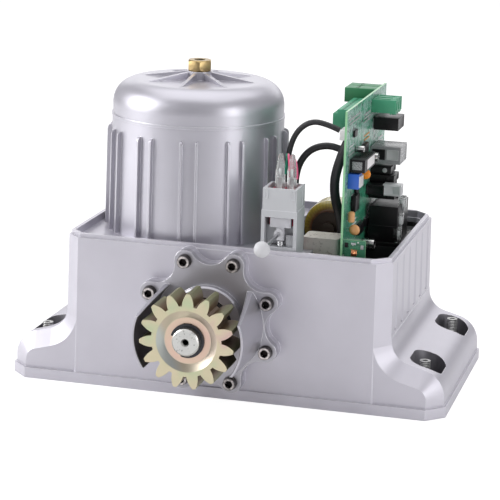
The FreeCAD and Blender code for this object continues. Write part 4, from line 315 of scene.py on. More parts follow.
def socket_screw(name, base):
    """Bright, unevenly plated screw heads with painted glints, painted shade in the socket and a painted
    shade ring at the rim.
    """
    finish = Finish(name, base, 1.0, 0.3)
    place = finish.place()
    reach, _ = screw_reach(finish)
    film = finish.noise(place, 420, 3)
    # Uneven plating; its strong light and dark patches also stand in for broken glints, as painted
    # highlights.
    plated = finish.mix(finish.band(film, 0.35, 0.65), scaled(base, 0.4), scaled(base, 1.3))
    # Painted shade in the hex socket, and a painted shade ring round the head's rim.
    dark = 1 - finish.band(reach, 2.6 * MM, 3.1 * MM)
    ring = finish.band(reach, 4.1 * MM, 4.5 * MM) * 0.75
    finish.set("Base Color", finish.mix(finish.math("MAXIMUM", dark, ring), plated, (0.012, 0.01, 0.01)))
    finish.set("Roughness", 0.22 + film * 0.2)
    finish.bump(film, 0.00005, 0.5)
    return finish.material


def filmed(name, base, metallic, film, shades, roughness, grain, **sockets):
    """A surface with a thin uneven film, which shifts its shade and its shine, over a fine grain.

    film is a noise's scale and detail, shades the darkest and lightest share of the colour, roughness
    its least value and its span, and grain a noise's scale and detail, its depth and its strength.
    """
    finish = Finish(name, base, metallic, roughness[0], **sockets)
    place = finish.place()
    film = finish.noise(place, *film)
    finish.set("Base Color", finish.mix(film, scaled(base, shades[0]), scaled(base, shades[1])))
    finish.set("Roughness", roughness[0] + film * roughness[1])
    finish.bump(finish.noise(place, *grain[:2]), *grain[2:])
    return finish.material


def plated_steel(name, base, roughness=0.28):
    """Plated or ground steel."""
    spread = (roughness - 0.06, 0.14)
    return filmed(name, base, 1.0, (260, 3), (0.86, 1.06), spread, (2400, 2, 0.00003, 0.4))


def turned_shaft(hole):
    """Fine turning rings round the output shaft, painted shade in a dark disc for the centre hole, and specks
    of dirt.
    """
    base = (0.60, 0.60, 0.58)
    finish = Finish("turned_shaft", base, 1.0, 0.26)
    across, up, _ = finish.split(finish.place(SHAFT, (math.pi / 2, 0, 0)))
    radius = finish.reach(across, up)
    rings = finish.math("SINE", radius * 26000)
    dirt = finish.band(finish.noise(finish.place(), 700, 2), 0.62, 0.70) * 0.6
    # Specks of dirt, and painted shade for the centre hole.
    dark = finish.math("MAXIMUM", dirt, 1 - finish.band(radius, hole - 0.1 * MM, hole + 0.3 * MM))
    finish.set("Base Color", finish.mix(dark, base, (0.01, 0.01, 0.01)))
    finish.set("Roughness", 0.30 + rings * 0.03 + finish.noise(finish.place(), 300) * 0.06)
    finish.bump(rings, 0.000012, 0.6)
    return finish.material


def threaded_steel(name, base, pitch):
    """A screw's shank: the thread is a wave along Z, with painted shade in its grooves."""
    finish = Finish(name, base, 1.0, 0.34)
    place = finish.place()
    _, _, height = finish.split(place)
    wave = finish.math("PINGPONG", height, pitch / 2) / (pitch / 2)
    # Painted shade: darker in the thread's grooves.
    finish.set("Base Color", finish.mix(wave, scaled(base, 0.45), base))
    finish.bump(wave, pitch * 0.45, 1.0)
    return finish.material


def yellow_zinc():
    """Passivated zinc: straw drifting to pink and green, pink at the hub, and brown painted shade on the
    teeth's flanks.
    """
    base = colours().gold
    finish = Finish("yellow_zinc", base, 0.9, 0.33)
    place = finish.place(SHAFT)
    across, _, up = finish.split(place)
    radius = finish.reach(across, up)
    hub = 1 - finish.band(radius, HUB - 0.6 * MM, HUB + 0.4 * MM)
    dish = (1 - finish.band(radius, DISH - 0.4 * MM, DISH + 0.4 * MM)) * (1 - hub)
    film = finish.noise(place, 46, 2)
    tint = finish.ramp(
        film, (0.30, (0.50, 0.55, 0.36)), (0.45, tuple(base)), (0.58, (0.64, 0.56, 0.40)),
        (0.70, (0.62, 0.46, 0.40)),
    )
    # The dish: painted shade, blue-grey at the lower left (named steel below) and brownish towards the left,
    # with a painted highlight towards the right.
    painted_shade_low_left = 1 - finish.band(across * 0.9 + up * 0.45, -17 * MM, -11 * MM)
    wear_and_shade = finish.mix(finish.band(across, 2 * MM, 16 * MM), (0.48, 0.41, 0.33), (0.70, 0.60, 0.52))
    steel = finish.mix(painted_shade_low_left, wear_and_shade, (0.42, 0.46, 0.47))
    warm = finish.mix(film, (0.74, 0.56, 0.42), (0.70, 0.46, 0.42))
    colour = finish.mix(hub * 0.8, finish.mix(dish * 0.8, tint, steel), warm)
    # Painted shade on the teeth's flanks, darkest towards their roots.
    _, front, _ = finish.split(finish.out(finish.node("NewGeometry"), "Normal"))
    flank = 1 - finish.band(finish.math("ABSOLUTE", front), 0.15, 0.35)
    red = finish.mix(film, (0.26, 0.20, 0.12), (0.27, 0.15, 0.11))
    brown = finish.mix(finish.band(radius, TOOTH_ROOT - 2 * MM, TOOTH_ROOT + 2 * MM), red, (0.36, 0.36, 0.20))
    finish.set("Base Color", finish.mix(flank * 0.85, colour, brown))
    finish.set("Roughness", 0.30 + finish.noise(place, 380, 2) * 0.14)
    finish.bump(finish.noise(place, 1500, 2), 0.00004, 0.5, 0.3 * MM)
    return finish.material


def brass_finish():
    """Brass gone olive, with a thin dark film."""
    grain = (1400, 1, 0.00002, 0.3)
    return filmed("turned_brass", colours().brass, 1.0, (120, 2), (0.75, 1.1), (0.26, 0.12), grain)


def moulded(name, base, roughness=0.5, grain=0.5, drift=0.08, transmission=0.0, edges=0.0, shine=0.5):
    """Moulded plastic: a fine texture, slight drift of shade and, if wanted, painted highlights along the
    edges.
    """
    finish = Finish(name, base, 0.0, roughness, ior=1.48)
    finish.set("Specular IOR Level", shine)
    place = finish.place()
    cloud = finish.noise(place, 55, 3)
    colour = finish.mix(cloud, scaled(base, 1 - drift), scaled(base, 1 + drift))
    # Painted highlights along the edges.
    if edges:
        colour = finish.mix(finish.edge(0.35 * MM) * edges, colour, (0.86, 0.86, 0.90))
    finish.set("Base Color", colour)
    finish.set("Roughness", roughness - 0.05 + finish.noise(place, 420, 2) * 0.12)
    finish.bump(finish.noise(place, 1900, 2), 0.00005, grain)
    if transmission:
        finish.set("Transmission Weight", transmission)
    return finish.material


def speckled(name, base, specks):
    """Scuffed plastic with small dark marks."""
    finish = Finish(name, base, 0.0, 0.5, ior=1.48)
    place = finish.place()
    marks = finish.band(finish.noise(place, 330, 3, 0.7), 0.56, 0.64)
    wear_and_shade = finish.band(finish.noise(place, 60, 2), 0.38, 0.58)
    finish.set("Base Color", finish.mix(marks * wear_and_shade * 0.8, base, specks))
    finish.set("Roughness", 0.42 + marks * 0.2)
    finish.bump(finish.noise(place, 900, 3), 0.0002, 0.7)
    return finish.material


def sheath():
    """Soft PVC over a lead: faint streaks and a dull sheen."""
    base, grain = (0.018, 0.018, 0.020), (1400, 2, 0.00006, 0.5)
    return filmed("lead_sheath", base, 0.0, (130, 4), (0.7, 1.9), (0.34, 0.2), grain, ior=1.5)


def circuit_board(name, base, flat_axis):
    """Solder mask with raised tracks and tinned pads, and with pale print and dark specks up the board.

    flat_axis is the axis across the board's thickness.
    """
    finish = Finish(name, base, 0.0, 0.32, ior=1.52, coat_weight=0.15, coat_roughness=0.25)
    parts = finish.split(finish.place())
    flat = [part for part, axis in zip(parts, "xyz") if axis != flat_axis]
    plane = finish.out(finish.node("CombineXYZ", None, X=flat[0], Y=flat[1], Z=0.0))
    edge = Value(finish, finish.node("NewGeometry").outputs["Normal"])
    facing = finish.math("ABSOLUTE", finish.split(edge)["xyz".index(flat_axis)])
    patch = finish.noise(plane, 42, 1)
    tracks = []
    for width, height in ((5.2 * MM, 1.1 * MM), (1.1 * MM, 7.4 * MM)):
        brick = finish.node(
            "TexBrick", {"offset": 0.37, "squash_frequency": 3, "squash": 0.6}, Vector=plane, Scale=1,
            Mortar_Size=0.16 * MM, Mortar_Smooth=0.0, Brick_Width=width, Row_Height=height,
        )
        tracks.append(finish.out(brick, "Fac"))
    choose = finish.band(patch, 0.49, 0.50)
    track = tracks[0] * choose + tracks[1] * (1 - choose)
    pads = 1 - finish.band(finish.spots(plane, 330), 0.20, 0.26)
    pads = pads * finish.band(finish.noise(plane, 75, 1), 0.50, 0.52)
    light = [min(1, c * 1.5 + 0.05) for c in base]
    mask = finish.mix(track, base, light)
    lines = finish.node(
        "TexBrick", {"offset": 0.31, "squash_frequency": 2, "squash": 0.7}, Vector=plane, Scale=1,
        Mortar_Size=0.26 * MM, Mortar_Smooth=0.1, Brick_Width=4.6 * MM, Row_Height=1.1 * MM,
    )
    above = finish.band(parts[2], PRINT_FOOT, PRINT_FOOT + 10 * MM)
    crowd = finish.band(finish.noise(plane, 190, 2), 0.46, 0.50) * above
    mask = finish.mix(finish.out(lines, "Fac") * crowd * facing * 0.8, mask, (0.50, 0.58, 0.60))
    above = finish.band(parts[2], PRINT_FOOT - 50 * MM, PRINT_FOOT)
    dark = finish.band(finish.noise(plane, 210, 2), 0.60, 0.63) * above
    mask = finish.mix(dark * facing * 0.85, mask, (0.01, 0.018, 0.016))
    mask = finish.mix(pads * facing, mask, (0.62, 0.66, 0.62))
    core = (0.25, 0.52, 0.28)
    finish.set("Base Color", finish.mix(finish.band(facing, 0.5, 0.6), core, mask))
    finish.set("Metallic", pads * facing * 0.8)
    finish.bump(track * 0.5 + pads, 0.00008, 0.8)
    return finish.material


def laminated(name, base, pitch):
    """Stacked steel sheets: fine lines across Z."""
    finish = Finish(name, base, 0.9, 0.4)
    _, _, height = finish.split(finish.place())
    wave = finish.math("PINGPONG", height, pitch / 2) / (pitch / 2)
    finish.set("Base Color", finish.mix(wave, scaled(base, 0.6), base))
    finish.bump(wave, 0.0001, 0.8)
    return finish.material


def wound_copper(name, centre, count=150):
    """Varnished wire laid side by side round a vertical axis, with painted shade between the strands."""
    finish = Finish(name, (0.55, 0.24, 0.10), 0.75, 0.3, coat_weight=0.5, coat_roughness=0.15)
    across, up, height = finish.split(finish.place(centre))
    angle = finish.math("ARCTAN2", up, across) * (count / (2 * math.pi)) + height * 300
    strand = finish.math("PINGPONG", angle, 0.5) * 2
    # Painted shade between the strands.
    finish.set("Base Color", finish.mix(strand, (0.22, 0.07, 0.03), (0.70, 0.33, 0.15)))
    finish.bump(strand, 0.0004, 0.8)
    return finish.material


def wrapped_tape(name, centre, count):
    """Overlapping wraps of glossy tape round the toroid, browner where the winding shows through and, as
    painted shade, towards the inner hole.
    """
    base = colours().tape
    finish = Finish(name, base, 0.0, 0.22, ior=1.5, coat_weight=0.4, coat_roughness=0.12)
    across, _, up = finish.split(finish.place(centre))
    angle = finish.math("ARCTAN2", up, across) * (count / (2 * math.pi))
    wrap = finish.math("FRACT", angle + 200)
    radius = finish.reach(across, up)
    # Painted shade towards the ring's inner hole; the patches further out are the winding showing through.
    inner = 1 - finish.band(radius, 14 * MM, 19 * MM)
    show = finish.noise(finish.place(centre), 70, 3)
    wear_and_shade = finish.math("MAXIMUM", inner, finish.band(show + wrap * 0.12, 0.60, 0.75))
    tape = finish.mix(wrap, scaled(base, 0.72), base)
    finish.set("Base Color", finish.mix(wear_and_shade, tape, (0.17, 0.075, 0.03)))
    finish.set("Roughness", 0.16 + show * 0.16)
    finish.bump(wrap, 0.00025, 0.8)
    return finish.material


class Cupboard:
    """The object's finishes, each made once."""

    def __init__(self):
        self.made = {}

    def get(self, name):
        if name not in self.made:
            self.made[name] = RECIPES[name]()
        return self.made[name]


def middle(node):
    low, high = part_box(node)
    return (low + high) / 2


RECIPES = {
    "paint": lambda: cast_paint("cast_paint", colours().paint, sizes().edge_round, shade=housing_shade),
    # Gear cover: the body's paint, darkened as painted shade.
    "cover_paint": lambda: cast_paint(
        "cover_paint", colours().cover_paint, sizes().edge_round * 1.4, 0.7, 0.34, cover_shade,
    ),
    "bolts": lambda: socket_screw("socket_screws", (0.58, 0.54, 0.53)),
    "can_paint": lambda: cast_paint("can_paint", colours().can_paint, sizes().edge_round, 0.72, 0.38),
    "zinc": lambda: plated_steel("bright_zinc", (0.66, 0.66, 0.65), 0.25),
    "steel": lambda: plated_steel("ground_steel", (0.60, 0.60, 0.61), 0.22),
    "dark_steel": lambda: plated_steel("blackened_steel", (0.055, 0.055, 0.06), 0.34),
    "shaft": lambda: turned_shaft(1.9 * MM),
    "threaded": lambda: threaded_steel("threaded_zinc", (0.55, 0.55, 0.54), sizes().thread_pitch),
    "gold": yellow_zinc,
    "brass": brass_finish,
    "bronze": lambda: plated_steel("bronze", (0.55, 0.34, 0.13), 0.34),
    "lamination": lambda: laminated("lamination", (0.32, 0.33, 0.35), 1.0 * MM),
    "copper_coils": lambda: wound_copper("copper_coils", middle("stator_windings")),
    "copper": lambda: plated_steel("bare_copper", (0.72, 0.32, 0.16), 0.25),
    "tin": lambda: plated_steel("tinned", (0.62, 0.64, 0.65), 0.3),
    "seal": lambda: moulded("seal_rubber", (0.02, 0.02, 0.021), 0.5, 0.7),
    "liner": lambda: moulded("liner_black", (0.012, 0.012, 0.013), 0.48, 0.9, 0.2),
    "black": lambda: moulded("black_plastic", (0.007, 0.006, 0.007), 0.34, 0.6, 0.2, shine=0.32),
    "grey": lambda: moulded("grey_plastic", (0.36, 0.37, 0.37), 0.42, 0.5),
    "smoke": lambda: moulded("smoke_plastic", (0.20, 0.205, 0.21), 0.25, 0.5),
    "core": lambda: moulded("dark_core", (0.045, 0.03, 0.02), 0.45, 0.8, 0.4),
    "white": lambda: moulded("white_plastic", (0.72, 0.70, 0.70), 0.4, 0.4),
    "switch": lambda: moulded("switch_plastic", colours().switch, 0.45, 0.6, 0.05, edges=0.75),
    "lever": lambda: moulded("lever_plastic", (0.50, 0.50, 0.53), 0.42, 0.4, 0.05, edges=0.6),
    "red": lambda: moulded("red_plastic", colours().red, 0.3, 0.4, 0.12),
    "knob": lambda: moulded("knob_rubber", (0.56, 0.56, 0.58), 0.5, 0.6, 0.06),
    "clear": lambda: moulded("clear_sleeve", (0.86, 0.87, 0.87), 0.16, 0.5, 0.03, 0.82),
    "frosted": lambda: moulded("frosted_sleeve", (0.62, 0.63, 0.64), 0.3, 0.6, 0.1, 0.25),
    "terminal": lambda: moulded("terminal_green", colours().terminal, 0.42, 0.5, 0.1),
    "plug": lambda: moulded("plug_green", colours().plug, 0.42, 0.5, 0.1),
    "beige": lambda: speckled("capacitor_beige", (0.97, 0.91, 0.83), (0.30, 0.26, 0.21)),
    "blue": lambda: moulded("blue_plastic", (0.03, 0.12, 0.52), 0.34, 0.4, 0.12),
    "orange": lambda: moulded("orange_lacquer", (0.85, 0.26, 0.01), 0.26, 0.5, 0.1),
    "tan": lambda: moulded("tan_ceramic", (0.62, 0.32, 0.13), 0.38, 0.6, 0.16),
    "green_wire": lambda: moulded("green_wire", (0.01, 0.22, 0.13), 0.4, 0.4),
    "pink_wire": lambda: moulded("pink_wire", (0.72, 0.10, 0.22), 0.4, 0.4),
    "sheath": sheath,
    "board": lambda: circuit_board("control_board_mask", colours().board, "x"),
    "small_board": lambda: circuit_board("daughter_board_mask", (0.02, 0.16, 0.08), "y"),
    "tape": lambda: wrapped_tape("toroid_tape", middle("toroid_transformer"), sizes().tape_bands),
}
CUPBOARD = Cupboard()

NODE_FINISHES = {
    "paint": ["base_housing"],
    "cover_paint": ["gear_cover"],
    "can_paint": ["motor_can", "end_cap"],
    "zinc": ["frame_screws", "cover_post"],
    "bolts": ["cover_screws"],
    "steel": [
        "output_bearing_front", "output_bearing_rear", "worm_bearing_upper", "worm_bearing_lower",
        "motor_bearing_top", "worm_shaft", "pivot_pin", "lever_rod",
    ],
    "dark_steel": ["shaft_keys", "circlip"],
    "shaft": ["output_shaft"],
    "threaded": ["levelling_screws"],
    "gold": ["pinion", "pinion_collar"],
    "bronze": ["worm_wheel"],
    "lamination": ["rotor_core", "stator_core"],
    "copper_coils": ["stator_windings"],
    "seal": ["oil_seal"],
    "liner": ["control_liner"],
    "switch": ["limit_switch_frame", "limit_switch_box"],
    "red": ["microswitches"],
    "lever": ["lever"],
    "knob": ["lever_knob"],
    "black": ["plunger_left", "plunger_right"],
    "beige": ["run_capacitor"],
    "board": ["control_board"],
    "small_board": ["daughter_board"],
    "tape": ["toroid_transformer"],
    "core": ["toroid_fixing"],
}


# ------------------------------------------------------------------------------ modelling by hand
# Lengths in this section and the next are in millimetres.
Point = namedtuple("Point", "x y z")


def metres(point):
    """A place in metres, as Blender takes it."""
    return Vector([value * MM for value in point])


def box(node):
    """The two corners of a solid's box."""
    return [Point(*(value / MM for value in corner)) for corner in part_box(node)]


def halfway(low, high):
    return Point(*((a + b) / 2 for a, b in zip(low, high)))


def size(name):
    return getattr(sizes(), name) / MM


def at_rest():
    """Object mode with nothing selected."""
    if bpy.context.object is not None and bpy.context.object.mode != "OBJECT":
        bpy.ops.object.mode_set(mode="OBJECT")
    bpy.ops.object.select_all(action="DESELECT")


def choose(piece):
    """Object mode with only this piece selected."""
    at_rest()
    piece.select_set(True)
    bpy.context.view_layer.objects.active = piece


def settle(piece):
    """Put the piece's place into its mesh."""
    choose(piece)
    bpy.ops.object.transform_apply(location=True, rotation=True, scale=True)
    return piece


def block(low, high):
    """A cuboid between two corners, to be shaped further."""
    at_rest()
    low, high = metres(low), metres(high)
    bpy.ops.mesh.primitive_cube_add(size=1, location=(low + high) / 2)
    piece = bpy.context.object
    piece.scale = high - low
    return settle(piece)


def moved(low, high, near, far):
    """A cuboid from a box, with its two corners moved."""
    return block([a + b for a, b in zip(low, near)], [a + b for a, b in zip(high, far)])


def bit(low, high, finish, width, segments=2):
    """A small cuboid with rounded edges and its finish."""
    return coat(soften(block(low, high), width, segments), finish)


def rod(centre, axis, radius, long_, sides=28, twist=0.0):
    """A cylinder along an axis about its centre."""
    at_rest()
    turn = Z.rotation_difference(Vector(axis)).to_euler()
    turn.z += twist
    bpy.ops.mesh.primitive_cylinder_add(
        vertices=sides, radius=radius * MM, depth=long_ * MM, location=metres(centre), rotation=turn
    )
    return settle(bpy.context.object)


def pick(piece, test):
    """Edit mode, with the faces selected that pass a test of normal and centre."""
    choose(piece)
    bpy.ops.object.mode_set(mode="EDIT")
    bpy.ops.mesh.select_mode(type="FACE")
    bpy.ops.mesh.select_all(action="DESELECT")
    bpy.ops.object.mode_set(mode="OBJECT")
    for face in piece.data.polygons:
        face.select = bool(test(face.normal, face.center / MM))
    bpy.ops.object.mode_set(mode="EDIT")


def facing(direction):
    """A test for faces that look along a direction."""
    return lambda normal, centre: normal.dot(direction) > 0.9


def between(direction, foot, top):
    """A test for faces that look along a direction, with their middle between two heights."""
    return lambda normal, centre: normal.dot(direction) > 0.9 and foot < centre.z < top


def inset(piece, test, margin, depth=0.0):
    """Inset the picked faces, and sink them by a depth."""
    pick(piece, test)
    bpy.ops.mesh.inset(thickness=margin * MM, depth=0.0, use_individual=True, use_even_offset=True)
    if depth:
        bpy.ops.mesh.inset(thickness=1e-6, depth=-depth * MM, use_individual=True)
    bpy.ops.object.mode_set(mode="OBJECT")


def slices(piece, count):
    """Cut the piece's faces into equal slices along Y."""
    places = [vertex.co.y for vertex in piece.data.vertices]
    low, high = min(places), max(places)
    for i in range(1, count):
        pick(piece, lambda normal, centre: True)
        bpy.ops.mesh.bisect(plane_co=(0, low + (high - low) * i / count, 0), plane_no=Y)
        bpy.ops.object.mode_set(mode="OBJECT")


def modify(piece, kind, **settings):
    """Add a modifier and apply it."""
    choose(piece)
    modifier = piece.modifiers.new(kind.lower(), kind)
    for name, value in settings.items():
        setattr(modifier, name, value)
    bpy.ops.object.modifier_apply(modifier=modifier.name)
    return piece


def soften(piece, width, segments=2, angle=40):
    return modify(
        piece, "BEVEL", width=width * MM, segments=segments, limit_method="ANGLE",
        angle_limit=math.radians(angle),
    )


def rounded(piece, angle=60):
    """The rounded edges of a small moulded case."""
    return soften(piece, size("plastic_round"), 2, angle)


def repeat(piece, step, count):
    """Copies in a row, in the piece's own mesh."""
    return modify(
        piece, "ARRAY", count=count, use_relative_offset=False, use_constant_offset=True,
        constant_offset_displace=metres(step),
    )


def cut(piece, tool, operation="DIFFERENCE"):
    """Cut with another piece, which is then removed."""
    modify(piece, "BOOLEAN", operation=operation, object=tool, solver="EXACT")
    bpy.data.objects.remove(tool)
    return piece


def joined(pieces):
    at_rest()
    for piece in pieces:
        piece.select_set(True)
    bpy.context.view_layer.objects.active = pieces[0]
    if len(pieces) > 1:
        bpy.ops.object.join()
    return bpy.context.object


def coat(piece, finish):
    piece.data.materials.clear()
    piece.data.materials.append(CUPBOARD.get(finish))
    return piece


def present(name, pieces, stands_for=(), angle=35):
    """Join the parts of a piece, shade it, and let it ride on the housing."""
    piece = joined(pieces)
    choose(piece)
    bpy.ops.object.shade_smooth_by_angle(angle=math.radians(angle))
    piece.name = name
    piece.data.name = name
    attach(piece, BODY)
    if stands_for:
        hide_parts(*stands_for)


def strand(points, radius, finish, sides=6):
    """A round lead along a smooth line through its control points, as a mesh."""
    curve = bpy.data.curves.new("strand", "CURVE")
    curve.dimensions = "3D"
    curve.bevel_depth = radius * MM
    curve.bevel_resolution = sides // 2
    curve.use_fill_caps = True
    curve.resolution_u = 10
    spline = curve.splines.new("NURBS")
    spline.points.add(len(points) - 1)
    for point, place in zip(spline.points, points):
        point.co = (*Vector(place) * MM, 1)
    spline.order_u = 3
    spline.use_endpoint_u = True
    piece = bpy.data.objects.new("strand", curve)
    bpy.context.scene.collection.objects.link(piece)
    choose(piece)
    bpy.ops.object.convert(target="MESH")
    return coat(bpy.context.object, finish)


def screw_head(centre, axis, radius, high, finish, across):
    """A round head with a slot across its face."""
    centre = Vector(centre)
    head = soften(rod(centre + axis * high / 2, axis, radius, high, 20), radius * 0.18)
    side = across.normalized()
    reach = side * radius * 1.3 + axis.cross(side) * radius * 0.16 + axis * high * 0.35
    reach = Vector(map(abs, reach))
    top = centre + axis * high
    return coat(cut(head, block(top - reach, top + reach)), finish)


# ------------------------------------------------------------------------------ pieces
def make_finishes():
    """Give every carried-over piece its finish."""
    for finish, names in NODE_FINISHES.items():
        for name in names:
            coat(NODES[name], finish)


def make_cap_nut():
    """Hexagon nut with chamfered corners and a threaded bore."""
    low, high = box("cap_nut")
    centre = halfway(low, high)
    flats = min(high.y - low.y, high.x - low.x) / 2
    tall = high.z - low.z
    corner = flats / math.cos(math.pi / 6)
    nut = rod(centre, Z, corner, tall, 6, NUT_TURN)
    dome = rod(centre, Z, corner + 0.1, tall, 64)
    soften(dome, size("nut_chamfer") * 1.8, 1)
    cut(nut, dome, "INTERSECT")
    cut(nut, rod(centre, Z, 4.3, tall * 1.2, 40))
    pitch = 1.5
    thread = []
    for i in range(5):
        at_rest()
        bpy.ops.mesh.primitive_torus_add(
            location=metres((centre.x, centre.y, low.z + (i + 0.8) * pitch)), major_radius=4.45 * MM,
            minor_radius=0.42 * MM, major_segments=40, minor_segments=6,
        )
        thread.append(coat(settle(bpy.context.object), "black"))
    soften(nut, 0.12, 1)
    present("cap_nut_turned", [coat(nut, "brass")] + thread, stands_for=["cap_nut"])


def make_spring():
    """The lever's return spring, a close coil."""
    low, high = box("lever_spring")
    centre = halfway(low, high)
    wire = size("spring_wire")
    radius = (high.x - low.x) / 2 - wire
    turns, steps = sizes().spring_turns, 12
    rise = high.z - low.z - 2 * wire
    points = []
    for i in range(turns * steps + 1):
        angle = 2 * math.pi * i / steps
        height = low.z + wire + rise * i / (turns * steps)
        reach = radius / math.cos(math.pi / steps)
        points.append((centre.x + reach * math.cos(angle), centre.y + reach * math.sin(angle), height))
    coil = strand(points, wire, "steel")
    present("lever_spring_coil", [coil], stands_for=["lever_spring"])


def make_leads():
    """The three sheathed leads, on smooth lines through their routes."""
    for name, (radius, route) in LEADS.items():
        line = strand(route, radius, "sheath", 14)
        present(name + "_sheath", [line], stands_for=[name], angle=60)


# The same routes as the solids, in millimetres.
LEADS = {
    "motor_lead": (2.1, [
        (34, -36, 56.4), (32.5, -35, 90), (34, -34, 120), (31.5, -33, 148), (31.5, -33, 174),
        (37, -34, 193), (49, -35, 203), (63, -36, 201), (71.2, -36, 197.5),
    ]),
    "capacitor_lead": (2.6, [
        (38, -21, 56.5), (36, -22, 90), (37.5, -23, 117), (36, -24, 142), (36.5, -24, 164),
        (45, -23, 178.5), (59, -22, 183.5), (72, -22, 180), (82.2, -22, 178.5),
    ]),
    "supply_lead": (3.6, [
        (77.5, -36, 189.5), (69, -35, 169), (67.5, -31, 147), (72.5, -23.3, 127), (74, -22.3, 106),
        (72.5, -21.5, 82), (74, -22, 56.6),
    ]),
}


def terminal_block(name, ways, finish):
    """A terminal block: wire entries on its right face and screw wells on its top."""
    low, high = box(name)
    case = block(low, high)
    slices(case, ways)
    way = (high.y - low.y) / ways
    entry, well = 5, 1.6
    for side, rim, deep in ((X, 0.16, entry), (Z, 0.18, well)):
        inset(case, facing(side), way * rim)
        inset(
            case,
            lambda normal, centre: normal.dot(side) > 0.9 and 0.4 < (centre.y - low.y) / way % 1 < 0.6,
            0.3, deep,
        )
    parts = [coat(rounded(case), finish)]
    for i in range(ways):
        y = low.y + (i + 0.5) * way
        top = ((low.x + high.x) / 2, y, high.z - well)
        clamp = (high.x - entry, y, (low.z + high.z) / 2)
        parts.append(screw_head(top, Z, way * 0.27, 0.9, "zinc", X + Y * 0.4))
        parts.append(screw_head(clamp, X, way * 0.24, 0.6, "tin", Z))
    present(name + "_block", parts, stands_for=[name])


def make_terminals():
    """The screw terminals at the board's top, on both sides."""
    terminal_block("output_terminal", 3, "plug")
    low, high = box("rear_terminals")
    split = low.y + (high.y - low.y) / 2
    parts = []
    for near, far in ((low.y, split - 0.25), (split + 0.25, high.y)):
        case = block((low.x, near, low.z), (high.x, far, high.z))
        slices(case, 2)
        inset(case, facing(-X), 1.0)
        inset(case, between(-X, low.z + 3, high.z - 3), 0.3, 4)
        parts.append(coat(rounded(case), "terminal"))
        way = (far - near) / 2
        for i in range(2):
            place = (low.x * 0.6 + high.x * 0.4, near + (i + 0.5) * way, high.z - 0.7)
            parts.append(screw_head(place, Z, way * 0.3, 0.7, "zinc", X))
    present("rear_terminal_blocks", parts, stands_for=["rear_terminals"])


def make_plug_strip():
    """The plug-in strip: a header on the board and a stepped plug with its screws."""
    low, high = box("pluggable_strip")
    ways, margin, ledge = 12, 0.8, 3.4
    way = (high.y - low.y) / ways
    seam = low.x + (high.x - low.x) * 0.56
    header = block((seam + 0.3, low.y, low.z + 1.2), (high.x, high.y, high.z - 2.4))
    plug = block((low.x, low.y + margin, low.z), (seam, high.y - margin, high.z))
    slices(plug, ways)
    inset(plug, facing(-X), way * 0.17)
    inset(plug, between(-X, low.z + 3, high.z - 3), 0.3, 3)
    cut(plug, block((low.x - 1, low.y - 1, high.z - 3), (low.x + ledge, high.y + 1, high.z + 1)))
    parts = [coat(rounded(piece), "plug") for piece in (header, plug)]
    for i in range(ways):
        y = low.y + margin + (i + 0.5) * (high.y - low.y - 2 * margin) / ways
        x = low.x + ledge + (seam - low.x - ledge) / 2
        parts.append(screw_head((x, y, high.z - 0.5), Z, way * 0.30, 0.5, "zinc", X))
    present("plug_in_strip", parts, stands_for=["pluggable_strip"])


def make_white_connector():
    """A locking connector with its shroud and latch."""
    low, high = box("white_connector")
    case = moved(low, high, (0, 0, 0), (0, 0, -1.5))
    inset(case, facing(-X), 1.1, 1.5)
    latch = block((low.x + 1.5, low.y + 3, high.z - 2), (high.x - 1, high.y - 3, high.z))
    inset(latch, facing(Z), 0.5)
    parts = [coat(rounded(piece, 40), "white") for piece in (case, latch)]
    present("lead_connector", parts, stands_for=["white_connector"])


def smoke_panes(low, high):
    """A dark and a grey window on the near side of a smoke-grey case."""
    half = low.x + (high.x - low.x) * 0.5
    parts = []
    for near, far, finish in ((low.x + 2, half, "black"), (half + 1.2, high.x - 1.5, "grey")):
        pane = block((near, low.y - 0.3, low.z + 3), (far, low.y + 0.3, high.z - 2))
        inset(pane, facing(-Y), 0.6, 0.25)
        parts.append(coat(soften(pane, 0.12), finish))
    return parts


def white_plates(low, high):
    """A white top and right side at a case's far end, and a grey plate on its near side."""
    return [
        bit((low.x + 3, low.y + 9, high.z - 0.3), (high.x - 1, high.y - 1.5, high.z), "white", 0.1),
        bit((high.x - 0.2, low.y + 9, low.z + 1.2), (high.x, high.y - 1.5, high.z - 1.2), "white", 0.08),
        bit((low.x + 2.5, low.y, low.z + 2), (high.x - 2, low.y + 0.2, high.z - 1.5), "grey", 0.08),
    ]


def make_relays():
    """The three cased parts at the board's right, each on a grey foot."""
    seat = 0.8
    for name, finish, extras, slot in (
        ("motor_terminal", "black", None, "terminal_green"),
        ("motor_relay", "smoke", smoke_panes, "relay_black"),
        ("signal_relay", "black", white_plates, "relay_white"),
    ):
        low, high = box(name)
        case = moved(low, high, (seat, 0, 0), (0, 0, 0))
        inset(case, facing(X), 1.2, 0.25)
        parts = [coat(soften(case, 0.5, 3), finish)]
        if extras:
            parts += extras(low, high)
        foot = block((low.x, low.y + 1, low.z + 1), (low.x + seat + 0.1, high.y - 1, high.z - 1))
        inset(foot, facing(X), 0.3)
        parts.append(coat(foot, "grey"))
        present(name + "_case", parts, stands_for=[name])


def make_blue_block():
    """The blue block with four slides and four ribs."""
    low, high = box("film_capacitor")
    parts = [bit(low, (high.x - 1.2, high.y, high.z), "blue", 0.4)]
    count = 4
    for i in range(count):
        y = low.y + (i + 0.5) * (high.y - low.y) / count
        slide = block((high.x - 1.3, y - 0.8, low.z + 1.5), (high.x, y + 0.8, high.z - 1.5))
        inset(slide, facing(X), 0.3, 0.5)
        parts.append(coat(slide, "white"))
        parts.append(bit((low.x + 1, y - 0.35, high.z - 0.1), (high.x - 2, y + 0.35, high.z), "white", 0.05))
    present("blue_block", parts, stands_for=["film_capacitor"])


